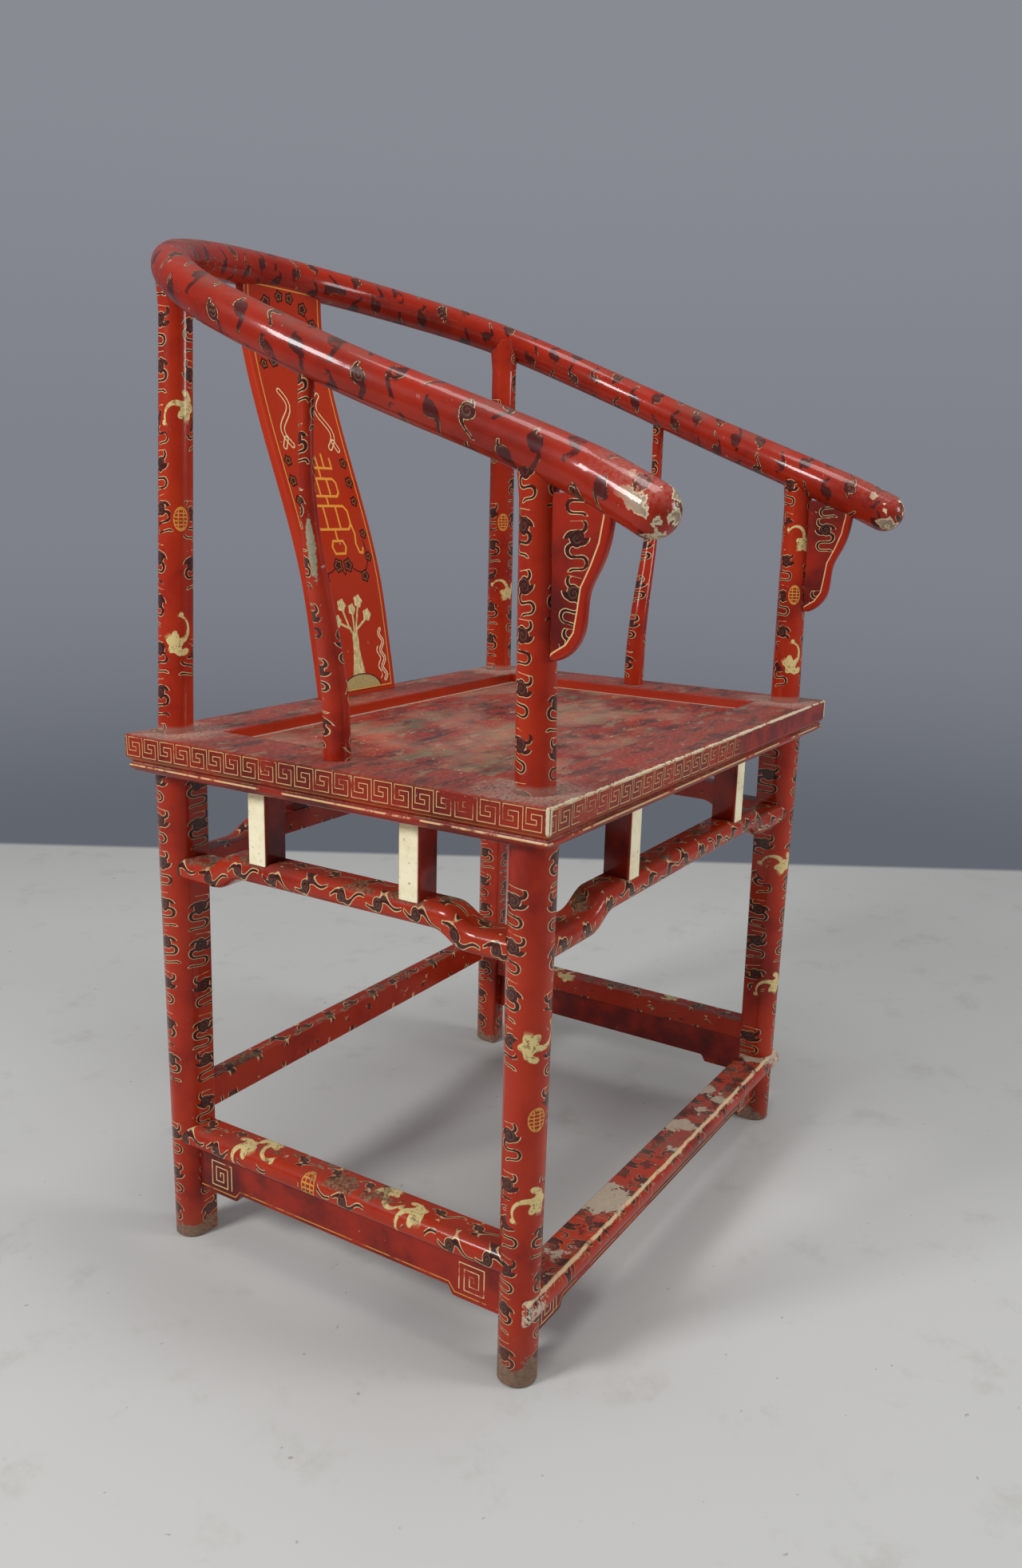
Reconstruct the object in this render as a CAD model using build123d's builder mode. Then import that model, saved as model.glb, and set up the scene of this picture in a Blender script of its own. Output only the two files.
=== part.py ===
from build123d import *
import os

# Horseshoe back armchair: a lacquered frame chair with a continuous arm and crest rail.
# Millimetres, +Z up. The origin is on the floor, at the centre of the chair's overall footprint.
# The front of the chair faces -Y. Left and right are the sitter's, so left is +X.

# --- Seat frame: four mitred members round a recessed panel ---
SEAT_TOP = 500.0
SEAT_W = 610.0
SEAT_D = 434.0
SEAT_Y = -20.0
SEAT_T = 36.0
MEMBER_W = 60.0
FRET_BAND = 20.0
BAND_STEP = 4.5
LIP_DROP = 4.5
LIP_INSET = 17.0
BEAD_H = 6.0
BEAD_OUT = 2.6
ARRIS = 1.0
PANEL_DROP = 10.0
PANEL_T = 10.0
TONGUE_T = 6.0
TONGUE_L = 8.0
GROOVE_ROOM = 0.6
BATTEN_W = 32.0
BATTEN_X = 125.0

# --- Legs: one length of timber from the floor, through the seat, to the crest rail ---
POST_INSET = 36.0
REAR_Y = 172.0
FRONT_Y = -203.0
LEG_R_SEAT = 19.2
LEG_R_FOOT = 16.8
LEG_EASE = 3.0
FOOT_EASE = 1.5
POST_R = 15.5
POST_R_TOP = 14.0
FLARE_R = 17.0
FLARE_H = 16.0
REAR_HEAD = (256.0, 166.0, 889.0)
FRONT_HEAD = (271.0, -199.0, 745.0)
POST_TENON_R = 7.0
POST_TENON_RISE = 5.0

# --- Above the seat the curved pieces are drawn for legs this far from the middle. They stretch
# sideways with the legs, so that they still meet them when the seat's width changes.
DRAWN_POST_X = 269.0

# --- Crest rail: centreline of its left half, from the middle of the back to the arm's end ---
CREST_POINTS = [
    (0.0, 291.5, 932.0),
    (90.0, 275.0, 927.0),
    (178.0, 233.0, 913.0),
    (251.0, 175.0, 892.0),
    (294.0, 105.0, 862.0),
    (304.0, 17.0, 826.0),
    (294.0, -77.0, 789.0),
    (277.0, -165.0, 757.0),
    (269.5, -237.0, 730.0),
    (277.0, -291.0, 706.0),
]
CREST_START = (1.0, 0.0, 0.0)
CREST_END = (0.13, -0.90, -0.42)
CREST_R = 18.2
ARM_END_R = 19.3
SWELL_FROM = 0.80
LAP_AT = (0.235, 0.475)
LAP_L = 96.0
PEG_SIDE = 7.0
PEG_TAPER = 0.8

# --- Splat: an S-curved board between the seat's back member and the crest rail ---
SPLAT_W = 120.0
SPLAT_T = 11.0
SPLAT_FRONT = [
    (175.5, 500.0),
    (182.5, 546.0),
    (196.0, 620.0),
    (215.0, 684.0),
    (241.0, 755.0),
    (264.0, 824.0),
    (275.5, 872.0),
    (278.5, 925.0),
]
SPLAT_FOOT_LEAN = (0.12, 1.0)
SPLAT_HEAD_LEAN = (0.0, 1.0)
SPLAT_EASE = 2.0
SPLAT_TONGUE_T = 5.0
SPLAT_TONGUE_INSET = 7.0
SPLAT_TONGUE_L = 12.0

# --- Side posts: slender, tapered, S-curved outwards below the arms ---
SIDE_POST_Y = -16.0
SIDE_POST = [
    (271.0, 500.0, 11.0),
    (272.5, 545.0, 10.9),
    (281.0, 597.0, 9.8),
    (294.0, 650.0, 8.4),
    (303.0, 705.0, 6.5),
    (304.5, 755.0, 5.9),
    (303.5, 812.0, 5.6),
]
SIDE_TENON_R = 6.0
SIDE_TENON_L = 18.0
SIDE_PIN_R = 3.5
SIDE_PIN_RISE = 6.0

# --- Arm spandrels: thin shaped boards in front of the front posts ---
SPANDREL_T = 8.0
SPANDREL_ROUND = 2.6
SPANDREL_OUTLINE = [
    (-221.0, 599.5),
    (-232.0, 606.5),
    (-239.5, 618.0),
    (-242.0, 634.0),
    (-244.0, 650.0),
    (-251.0, 665.0),
    (-257.0, 681.0),
    (-260.0, 699.0),
    (-261.5, 716.0),
]

# --- Humpback stretchers and paired struts under the seat ---
HUMP_H = 21.0
HUMP_RISE = 13.0
HUMP_BASE = 365.0
HUMP_OUT = 15.0
HUMP_IN = 13.0
HUMP_ROUND = 9.0
HUMP_SLIP = 5.0
SIDE_BEND = (81.5, 46.5)
FRONT_BEND = (111.0, 71.0)
STRUT_W = 21.0
STRUT_OUT = 12.5
STRUT_IN = 12.0
STRUT_EASE = 2.5
SIDE_STRUT_SHARE = 0.43
FRONT_STRUT_SHARE = 0.44

# --- Floor stretchers, footrest and aprons: the front lowest, the sides higher, the back highest ---
SIDE_BAR_TOP = 119.0
SIDE_BAR_H = 21.0
BAR_OUT = 16.5
BAR_IN = 13.0
BACK_BAR_TOP = 156.0
BACK_BAR_H = 28.0
BACK_BAR_OUT = 12.5
FOOTREST_TOP = 82.0
FOOTREST_H = 21.0
FOOTREST_PROUD = 4.0
FOOTREST_IN = 15.0
FOOTREST_LAP = 9.0
FOOTREST_LAP_PAST = 16.0
FOOTREST_DISH = 1.2
FOOTREST_BEAD = 7.0
APRON_T = 10.0
APRON_OUT = 4.0
APRON_H = 37.0
APRON_EAR = 8.0
APRON_EAR_L = 45.0
APRON_CUSP = (-1.0, 0.3)
FOOT_APRON_H = 26.0

# --- Mortise and tenon sizes shared by every stretcher ---
TENON_T = 8.0
TENON_L = 11.0
TENON_SHY = 4.0

SEAT_BOTTOM = SEAT_TOP - SEAT_T
PANEL_TOP = SEAT_TOP - PANEL_DROP
PANEL_BOTTOM = PANEL_TOP - PANEL_T
OPENING_W = SEAT_W - 2 * MEMBER_W
OPENING_D = SEAT_D - 2 * MEMBER_W
POST_X = SEAT_W / 2 - POST_INSET
LEG_MID_Y = (REAR_Y + FRONT_Y) / 2
SIDE_SPAN = REAR_Y - FRONT_Y
FRONT_SPAN = 2 * POST_X


def wide(x):
    """A distance from the middle, stretched with the legs' spread."""
    return x * POST_X / DRAWN_POST_X


crest_points = [(wide(x), y, z) for x, y, z in CREST_POINTS]
rear_top, front_top = [(wide(x), y, z) for x, y, z in (REAR_HEAD, FRONT_HEAD)]


def leg_radius(z):
    """Radius of the leg's round side at a height below the seat."""
    return LEG_R_FOOT + (LEG_R_SEAT - LEG_R_FOOT) * z / SEAT_BOTTOM


# ---------------------------------------------------------------- crest rail blank
with BuildPart() as crest_blank:
    with BuildLine() as crest_path:
        Spline(*crest_points, tangents=(CREST_START, CREST_END))
    crest_line = crest_path.line
    with Locations(crest_line @ 1):
        Sphere(ARM_END_R)
    for place, radius in ((0, CREST_R), (SWELL_FROM, CREST_R), (1, ARM_END_R)):
        with BuildSketch(Plane(origin=crest_line @ place, z_dir=crest_line % place)):
            Circle(radius)
    sweep(path=crest_line, multisection=True)


def lap_plane(place):
    """Frame of a scarf joint: x along the rail, z square to the lap."""
    along = crest_line % place
    across = Vector(0, 0, 1).cross(along).normalized()
    return Plane(origin=crest_line @ place, x_dir=along, z_dir=along.cross(across))


def lap_end(place, side):
    """Plane square to the rail at one end of a scarf joint."""
    lap = lap_plane(place)
    return Plane(origin=lap.origin + lap.x_dir * side * LAP_L / 2, z_dir=lap.x_dir)


def lap_half(place, vertical):
    """The block that clears the upper or the lower half of a scarf joint."""
    lap = lap_plane(place)
    room = 4 * CREST_R
    with BuildPart(lap) as half:
        Box(LAP_L, room, room, align=(Align.CENTER, Align.CENTER, vertical))
    return half.part


def lap_peg(place):
    """Tapered square peg that locks a scarf joint."""
    lap = lap_plane(place)
    reach = 1.5 * CREST_R
    with BuildPart() as peg:
        with BuildSketch(lap.offset(-reach)):
            Rectangle(PEG_SIDE - PEG_TAPER, PEG_SIDE - PEG_TAPER)
        with BuildSketch(lap.offset(reach)):
            Rectangle(PEG_SIDE, PEG_SIDE)
        loft()
        add(crest_blank.part, mode=Mode.INTERSECT)
    return peg.part


LAP_BACK, LAP_ARM = LAP_AT
peg_back = lap_peg(LAP_BACK)
peg_arm = lap_peg(LAP_ARM)

# ---------------------------------------------------------------- splat
head_y = SPLAT_FRONT[-1][0] + SPLAT_T / 2
foot_y = SPLAT_FRONT[0][0] + SPLAT_T / 2
tongue_w = SPLAT_W - 2 * SPLAT_TONGUE_INSET
crest_under = crest_points[0][2] - CREST_R
ON_END = (Align.CENTER, Align.CENTER, Align.MIN)

with BuildPart() as splat_tongues:
    with Locations((0, head_y, crest_under - SPLAT_TONGUE_L), (0, foot_y, SEAT_TOP - SPLAT_TONGUE_L)):
        Box(tongue_w, SPLAT_TONGUE_T, 2 * SPLAT_TONGUE_L, align=ON_END)

with BuildPart() as splat:
    with BuildSketch(Plane.YZ):
        with BuildLine():
            lean = (SPLAT_FOOT_LEAN, SPLAT_HEAD_LEAN)
            front = Spline(*SPLAT_FRONT, tangents=lean)
            back = Spline(*[(y + SPLAT_T, z) for y, z in SPLAT_FRONT], tangents=lean)
            Line(front @ 0, back @ 0)
            Line(front @ 1, back @ 1)
        make_face()
    extrude(amount=SPLAT_W / 2, both=True)
    fillet(splat.edges().filter_by(GeomType.BSPLINE), SPLAT_EASE)
    add(crest_blank.part, mode=Mode.SUBTRACT)
    add(crest_blank.part.mirror(Plane.YZ), mode=Mode.SUBTRACT)
    add(splat_tongues.part)
    splat.part.label = "splat"

# ---------------------------------------------------------------- crest rail sections
with BuildPart() as crest_center:
    add(crest_blank.part)
    split(bisect_by=lap_end(LAP_BACK, 1), keep=Keep.BOTTOM)
    add(lap_half(LAP_BACK, Align.MAX), mode=Mode.SUBTRACT)
    add(peg_back, mode=Mode.SUBTRACT)
    mirror(about=Plane.YZ)
    add(splat_tongues.part, mode=Mode.SUBTRACT)
    crest_center.part.label = "crest_center"

with BuildPart() as crest_shoulder_blank:
    add(crest_blank.part)
    split(bisect_by=lap_end(LAP_BACK, -1), keep=Keep.TOP)
    split(bisect_by=lap_end(LAP_ARM, 1), keep=Keep.BOTTOM)
    add(lap_half(LAP_BACK, Align.MIN), mode=Mode.SUBTRACT)
    add(lap_half(LAP_ARM, Align.MAX), mode=Mode.SUBTRACT)
    add(peg_back, mode=Mode.SUBTRACT)
    add(peg_arm, mode=Mode.SUBTRACT)

with BuildPart() as crest_arm_blank:
    add(crest_blank.part)
    split(bisect_by=lap_end(LAP_ARM, -1), keep=Keep.TOP)
    add(lap_half(LAP_ARM, Align.MIN), mode=Mode.SUBTRACT)
    add(peg_arm, mode=Mode.SUBTRACT)

with BuildPart() as crest_pegs:
    add(peg_back)
    add(peg_arm)
    mirror(about=Plane.YZ)
    crest_pegs.part.label = "crest_pegs"


# ---------------------------------------------------------------- legs
def leg_blank(y, inner, top):
    """Left leg: round outside and square inside below the seat, a round post above it."""
    neck = top[2] - CREST_R - FLARE_H
    lean = (neck - SEAT_TOP) / (top[2] - SEAT_TOP)
    neck_x = POST_X + (top[0] - POST_X) * lean
    neck_y = y + (top[1] - y) * lean
    with BuildPart() as leg:
        for z in (0, SEAT_BOTTOM):
            with BuildSketch(Plane.XY.offset(z)) as section:
                with Locations((POST_X, y)):
                    Circle(leg_radius(z))
                    Rectangle(leg_radius(z), leg_radius(z), align=(Align.MAX, inner))
                fillet(section.vertices().sort_by_distance((POST_X, y))[-1], LEG_EASE)
        loft(ruled=True)
        chamfer(leg.faces().sort_by(Axis.Z)[0].edges(), FOOT_EASE)
        with BuildSketch(Plane.XY.offset(SEAT_BOTTOM)):
            with Locations((POST_X, y)):
                Circle(POST_R)
        extrude(amount=SEAT_T)
        for z, x_at, y_at, radius in (
            (SEAT_TOP, POST_X, y, POST_R),
            (neck, neck_x, neck_y, POST_R_TOP),
            (top[2], top[0], top[1], FLARE_R),
        ):
            with BuildSketch(Plane.XY.offset(z)):
                with Locations((x_at, y_at)):
                    Circle(radius)
        loft(ruled=True)
    return leg.part


def post_tenon(top):
    """Round tenon between a post and the crest rail."""
    with BuildPart() as tenon:
        with Locations((top[0], top[1], top[2] + POST_TENON_RISE)):
            Cylinder(POST_TENON_R, 2 * CREST_R, align=(Align.CENTER, Align.CENTER, Align.MAX))
    return tenon.part


front_leg_blank = leg_blank(FRONT_Y, Align.MIN, front_top)
rear_leg_blank = leg_blank(REAR_Y, Align.MAX, rear_top)
front_tenon = post_tenon(front_top)
rear_tenon = post_tenon(rear_top)
left_legs = [front_leg_blank, rear_leg_blank]
all_legs = left_legs + [leg.mirror(Plane.YZ) for leg in left_legs]

# ---------------------------------------------------------------- frames for what runs between the legs
# Each frame stands on the floor midway between two legs: x along the piece, y outwards, z up.
SIDE = Plane(origin=(POST_X, LEG_MID_Y, 0), x_dir=(0, -1, 0), z_dir=(0, 0, 1))
FRONT = Plane(origin=(0, FRONT_Y, 0), x_dir=(-1, 0, 0), z_dir=(0, 0, 1))
BACK = Plane(origin=(0, REAR_Y, 0), x_dir=(1, 0, 0), z_dir=(0, 0, 1))


def upright(frame, out):
    """Vertical plane along a frame, a distance outwards: x along the piece, y up."""
    return Plane(origin=frame.origin + frame.y_dir * out, x_dir=frame.x_dir, z_dir=-frame.y_dir)


def outwards(frame, point):
    """How far a point lies outwards of a frame's origin."""
    return (point - frame.origin).dot(frame.y_dir)


def bar_section(frame, along, height_at, inside, outside, height, rounding):
    """Cross-section of a bar, flat inside and rounded outside."""
    origin = frame.origin + frame.x_dir * along + frame.z_dir * height_at
    with BuildSketch(Plane(origin=origin, x_dir=frame.y_dir, z_dir=frame.x_dir)) as section:
        with Locations(((outside - inside) / 2, 0)):
            Rectangle(outside + inside, height)
        fillet(section.vertices().group_by(Axis.X)[-1], rounding)
    return section.sketch


def tenons(frame, span, middle, height):
    """Pair of tenons at the ends of a bar, each reaching into its leg."""
    shoulder = span / 2 - leg_radius(middle)
    with BuildPart(frame) as pair:
        with Locations((shoulder, 0, middle), (-shoulder, 0, middle)):
            Box(2 * TENON_L, TENON_T, height - 2 * TENON_SHY)
    return pair.part


def humpback(frame, span, bend):
    """Humpback stretcher: low at the legs, raised between two ogees, rounded outside."""
    low = HUMP_BASE
    near, far = [span / 2 - inset for inset in bend]
    with BuildPart() as bar:
        with BuildSketch(upright(frame, HUMP_OUT)):
            with BuildLine():
                for height, slip in ((low, -HUMP_SLIP), (low + HUMP_H, HUMP_SLIP)):
                    for side in (-1, 1):
                        Line((side * span / 2, height), (side * (far + slip), height))
                        Spline(
                            (side * (far + slip), height),
                            (side * (near + slip), height + HUMP_RISE),
                            tangents=((-side, 0), (-side, 0)),
                        )
                    Line((-near - slip, height + HUMP_RISE), (near + slip, height + HUMP_RISE))
                for side in (-1, 1):
                    Line((side * span / 2, low), (side * span / 2, low + HUMP_H))
            make_face()
        extrude(amount=HUMP_OUT + HUMP_IN)
        outer = bar.edges().filter_by(lambda e: abs(outwards(frame, e.center()) - HUMP_OUT) < 0.01)
        fillet(outer.filter_by(Axis.Z, reverse=True), HUMP_ROUND)
    return bar.part


def straight_bar(frame, span, top, height, inside, outside):
    """Straight floor stretcher with a rounded outer face."""
    with BuildPart() as bar:
        end = bar_section(frame, -span / 2, top - height / 2, inside, outside, height, HUMP_ROUND)
        extrude(end, amount=span, dir=frame.x_dir)
    return bar.part


def apron(frame, span, top, height):
    """Shaped board under a floor stretcher, with a deeper ear at each leg."""
    ear = span / 2 - leg_radius(top) - APRON_EAR_L
    low = top - height
    tip = low - APRON_EAR
    with BuildPart() as board:
        with BuildSketch(upright(frame, APRON_OUT)):
            with BuildLine():
                Line((-span / 2, top), (span / 2, top))
                Line((span / 2, top), (span / 2, tip))
                Line((span / 2, tip), (ear, tip))
                cusp_x, cusp_z = APRON_CUSP
                Spline((ear, tip), (ear - APRON_EAR, low), tangents=(APRON_CUSP, (-1, 0)))
                Line((ear - APRON_EAR, low), (APRON_EAR - ear, low))
                Spline((APRON_EAR - ear, low), (-ear, tip), tangents=((-1, 0), (cusp_x, -cusp_z)))
                Line((-ear, tip), (-span / 2, tip))
                Line((-span / 2, tip), (-span / 2, top))
            make_face()
        extrude(amount=APRON_T)
    return board.part


def strut(frame, along, hump):
    """Upright strut between a humpback stretcher and the seat frame."""
    foot = HUMP_BASE + HUMP_RISE + HUMP_H / 2
    with BuildPart(frame) as blank:
        with Locations((along, (STRUT_OUT - STRUT_IN) / 2, foot)):
            Box(STRUT_W, STRUT_OUT + STRUT_IN, SEAT_BOTTOM - foot, align=ON_END)
        outer = blank.edges().filter_by(Axis.Z).sort_by(lambda e: outwards(frame, e.center()))
        fillet(outer[-2:], STRUT_EASE)
    with BuildPart() as post:
        add(blank.part)
        add(hump, mode=Mode.SUBTRACT)
    return post.part


SIDE_BAR_MID = SIDE_BAR_TOP - SIDE_BAR_H / 2
BACK_BAR_MID = BACK_BAR_TOP - BACK_BAR_H / 2
HUMP_MID = HUMP_BASE + HUMP_H / 2
BAR_SIZES = (
    (SIDE, SIDE_SPAN, HUMP_MID, HUMP_H),
    (FRONT, FRONT_SPAN, HUMP_MID, HUMP_H),
    (BACK, FRONT_SPAN, HUMP_MID, HUMP_H),
    (SIDE, SIDE_SPAN, SIDE_BAR_MID, SIDE_BAR_H),
    (BACK, FRONT_SPAN, BACK_BAR_MID, BACK_BAR_H),
)
side_hump_tenons, front_hump_tenons, back_hump_tenons, side_bar_tenons, back_bar_tenons = [
    tenons(*sizes) for sizes in BAR_SIZES
]

# ---------------------------------------------------------------- finished legs
FOOTREST_MID = FOOTREST_TOP - FOOTREST_H / 2
FOOTREST_OUT = leg_radius(FOOTREST_MID) + FOOTREST_PROUD

with BuildPart() as leg_front_left:
    add(front_leg_blank)
    add(crest_blank.part, mode=Mode.SUBTRACT)
    add(front_tenon)
    add([side_hump_tenons, front_hump_tenons, side_bar_tenons], mode=Mode.SUBTRACT)
    with Locations((POST_X, FRONT_Y - FOOTREST_OUT, FOOTREST_MID)):
        Box(4 * POST_R, 2 * FOOTREST_LAP, FOOTREST_H, mode=Mode.SUBTRACT)

with BuildPart() as leg_rear_left:
    add(rear_leg_blank)
    add(crest_blank.part, mode=Mode.SUBTRACT)
    add(rear_tenon)
    add([side_hump_tenons, back_hump_tenons, side_bar_tenons, back_bar_tenons], mode=Mode.SUBTRACT)


# ---------------------------------------------------------------- side posts
def side_post(cut):
    """Slender tapered post, from the seat's side member to the underside of the arm."""
    with BuildPart() as post:
        for x, z, radius in SIDE_POST:
            with BuildSketch(Plane.XY.offset(z)):
                with Locations((wide(x), SIDE_POST_Y)):
                    Circle(radius)
        loft()
        add(crest_blank.part, mode=Mode.SUBTRACT)
        add(cut)
    return post.part


post_foot = (wide(SIDE_POST[0][0]), SIDE_POST_Y, SIDE_POST[0][1] - SIDE_TENON_L)
post_head = (wide(SIDE_POST[-1][0]), SIDE_POST_Y, SIDE_POST[-1][1] + SIDE_PIN_RISE)
with BuildPart() as side_tenons:
    with Locations(post_foot):
        Cylinder(SIDE_TENON_R, 2 * SIDE_TENON_L, align=ON_END)
    with Locations(post_head):
        Cylinder(SIDE_PIN_R, 2 * CREST_R, align=(Align.CENTER, Align.CENTER, Align.MAX))

with BuildPart() as side_post_left:
    add(side_post(side_tenons.part))

# ---------------------------------------------------------------- arms and shoulders take their tenons
with BuildPart() as crest_shoulder_left:
    add(crest_shoulder_blank.part)
    add(rear_tenon, mode=Mode.SUBTRACT)

with BuildPart() as crest_arm_left:
    add(crest_arm_blank.part)
    add([front_tenon, side_tenons.part], mode=Mode.SUBTRACT)

# ---------------------------------------------------------------- arm spandrels
with BuildPart() as arm_spandrel_left:
    with BuildSketch(Plane.YZ.offset(front_top[0])):
        with BuildLine():
            edge = Spline(*SPANDREL_OUTLINE)
            Line(edge @ 1, (FRONT_Y, SPANDREL_OUTLINE[-1][1]))
            Line((FRONT_Y, SPANDREL_OUTLINE[-1][1]), (FRONT_Y, SPANDREL_OUTLINE[0][1]))
            Line((FRONT_Y, SPANDREL_OUTLINE[0][1]), edge @ 0)
        make_face()
    extrude(amount=SPANDREL_T / 2, both=True)
    fillet(arm_spandrel_left.edges().filter_by(GeomType.BSPLINE), SPANDREL_ROUND)
    add([crest_blank.part, front_leg_blank], mode=Mode.SUBTRACT)


# ---------------------------------------------------------------- seat frame
with BuildPart() as post_holes:
    with Locations(*[(x, y, SEAT_BOTTOM) for x in (-POST_X, POST_X) for y in (FRONT_Y, REAR_Y)]):
        Cylinder(POST_R, SEAT_T, align=ON_END)


def seat_member(length):
    """Mitred member of the seat frame: x along it, its inner edge on y = 0, outwards +y."""
    outer = MEMBER_W
    step = outer - BAND_STEP
    band = SEAT_TOP - FRET_BAND
    bead = SEAT_BOTTOM + LIP_DROP
    with BuildPart() as member:
        with BuildSketch(Plane.YZ):
            with BuildLine():
                Line((0, SEAT_BOTTOM), (outer - LIP_INSET, SEAT_BOTTOM))
                Spline((outer - LIP_INSET, SEAT_BOTTOM), (step, bead), tangents=((1, 0), (0.5, 1)))
                ThreePointArc((step, bead), (step + BEAD_OUT, bead + BEAD_H / 2), (step, bead + BEAD_H))
                Line((step, bead + BEAD_H), (outer, band))
                Line((outer, band), (outer, SEAT_TOP - ARRIS))
                Line((outer, SEAT_TOP - ARRIS), (outer - ARRIS, SEAT_TOP))
                Line((outer - ARRIS, SEAT_TOP), (ARRIS, SEAT_TOP))
                Line((ARRIS, SEAT_TOP), (0, SEAT_TOP - ARRIS))
                Line((0, SEAT_TOP - ARRIS), (0, SEAT_BOTTOM))
            make_face()
            with Locations((0, PANEL_TOP - PANEL_T / 2)):
                Rectangle(2 * TONGUE_L, TONGUE_T, mode=Mode.SUBTRACT)
        extrude(amount=length / 2, both=True)
        for side in (-1, 1):
            mitre = Plane(origin=(side * length / 2, MEMBER_W, 0), z_dir=(side, -1, 0))
            split(bisect_by=mitre, keep=Keep.BOTTOM)
    return member.part


with BuildPart() as seat_front:
    with Locations(Location((0, SEAT_Y - OPENING_D / 2, 0), (0, 0, 180))):
        add(seat_member(SEAT_W))
    add(post_holes.part, mode=Mode.SUBTRACT)
    seat_front.part.label = "seat_front"

with BuildPart() as seat_back:
    with Locations((0, SEAT_Y + OPENING_D / 2, 0)):
        add(seat_member(SEAT_W))
    add([post_holes.part, splat_tongues.part], mode=Mode.SUBTRACT)
    seat_back.part.label = "seat_back"

with BuildPart() as seat_side_left:
    with Locations(Location((OPENING_W / 2, SEAT_Y, 0), (0, 0, -90))):
        add(seat_member(SEAT_D))
    add([post_holes.part, side_tenons.part], mode=Mode.SUBTRACT)

with BuildPart() as seat_panel:
    tongue = 2 * (TONGUE_L - GROOVE_ROOM)
    with Locations((0, SEAT_Y, PANEL_TOP - PANEL_T / 2)):
        Box(OPENING_W, OPENING_D, PANEL_T)
        Box(OPENING_W + tongue, OPENING_D + tongue, TONGUE_T)
    seat_panel.part.label = "seat_panel"

with BuildPart() as batten_left:
    with Locations((BATTEN_X, SEAT_Y, SEAT_BOTTOM)):
        Box(BATTEN_W, OPENING_D, PANEL_BOTTOM - SEAT_BOTTOM, align=ON_END)
    chamfer(batten_left.faces().sort_by(Axis.Z)[0].edges().filter_by(Axis.Y), ARRIS)

# ---------------------------------------------------------------- humpback stretchers
with BuildPart() as humpback_left:
    add(humpback(SIDE, SIDE_SPAN, SIDE_BEND))
    add(left_legs, mode=Mode.SUBTRACT)
    add(side_hump_tenons)

with BuildPart() as humpback_front:
    add(humpback(FRONT, FRONT_SPAN, FRONT_BEND))
    add(all_legs, mode=Mode.SUBTRACT)
    add(front_hump_tenons)
    humpback_front.part.label = "humpback_front"

with BuildPart() as humpback_back:
    add(humpback(BACK, FRONT_SPAN, FRONT_BEND))
    add(all_legs, mode=Mode.SUBTRACT)
    add(back_hump_tenons)
    humpback_back.part.label = "humpback_back"

# ---------------------------------------------------------------- floor stretchers and aprons
with BuildPart() as stretcher_left:
    add(straight_bar(SIDE, SIDE_SPAN, SIDE_BAR_TOP, SIDE_BAR_H, BAR_IN, BAR_OUT))
    add(left_legs, mode=Mode.SUBTRACT)
    add(side_bar_tenons)

with BuildPart() as stretcher_back:
    add(straight_bar(BACK, FRONT_SPAN, BACK_BAR_TOP, BACK_BAR_H, BAR_IN, BACK_BAR_OUT))
    add(all_legs, mode=Mode.SUBTRACT)
    add(back_bar_tenons)
    stretcher_back.part.label = "stretcher_back"

with BuildPart() as apron_left:
    add(apron(SIDE, SIDE_SPAN, SIDE_BAR_TOP - SIDE_BAR_H, APRON_H))
    add(left_legs, mode=Mode.SUBTRACT)

with BuildPart() as footrest_apron:
    add(apron(FRONT, FRONT_SPAN, FOOTREST_TOP - FOOTREST_H, FOOT_APRON_H))
    add(all_legs, mode=Mode.SUBTRACT)
    footrest_apron.part.label = "footrest_apron"

with BuildPart() as footrest:
    with BuildSketch(Plane(origin=(0, FRONT_Y, FOOTREST_MID), x_dir=(0, -1, 0), z_dir=(-1, 0, 0))):
        with BuildLine():
            half = FOOTREST_H / 2
            nose = FOOTREST_OUT - FOOTREST_BEAD
            Line((-FOOTREST_IN, -half), (nose, -half))
            ThreePointArc((nose, -half), (FOOTREST_OUT, 0), (nose, half))
            Spline((nose, half), (nose - FOOTREST_BEAD, half - FOOTREST_DISH), tangents=((-1, 0), (-1, 0)))
            Line((nose - FOOTREST_BEAD, half - FOOTREST_DISH), (-FOOTREST_IN, half - FOOTREST_DISH))
            Line((-FOOTREST_IN, half - FOOTREST_DISH), (-FOOTREST_IN, -half))
        make_face()
    extrude(amount=POST_X + FOOTREST_LAP_PAST, both=True)
    behind_lap = (Align.CENTER, Align.MIN, Align.CENTER)
    for side in (-1, 1):
        lap_x = side * (POST_X + FOOTREST_LAP_PAST)
        with Locations((lap_x, FRONT_Y - FOOTREST_OUT + FOOTREST_LAP, FOOTREST_MID)):
            Box(2 * FOOTREST_LAP_PAST, 4 * FOOTREST_OUT, FOOTREST_H, align=behind_lap, mode=Mode.SUBTRACT)
    add([leg_front_left.part, leg_front_left.part.mirror(Plane.YZ)], mode=Mode.SUBTRACT)
    footrest.part.label = "footrest"

# ---------------------------------------------------------------- struts
HUMPS = {
    "left": (SIDE, SIDE_SPAN * SIDE_STRUT_SHARE, humpback_left),
    "front": (FRONT, FRONT_SPAN * FRONT_STRUT_SHARE, humpback_front),
    "back": (BACK, FRONT_SPAN * FRONT_STRUT_SHARE, humpback_back),
}
struts = {}
for place, (frame, pitch, hump) in HUMPS.items():
    for number, side in ((1, -1), (2, 1)):
        struts[f"strut_{place}_{number}"] = strut(frame, side * pitch / 2, hump.part)

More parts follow.
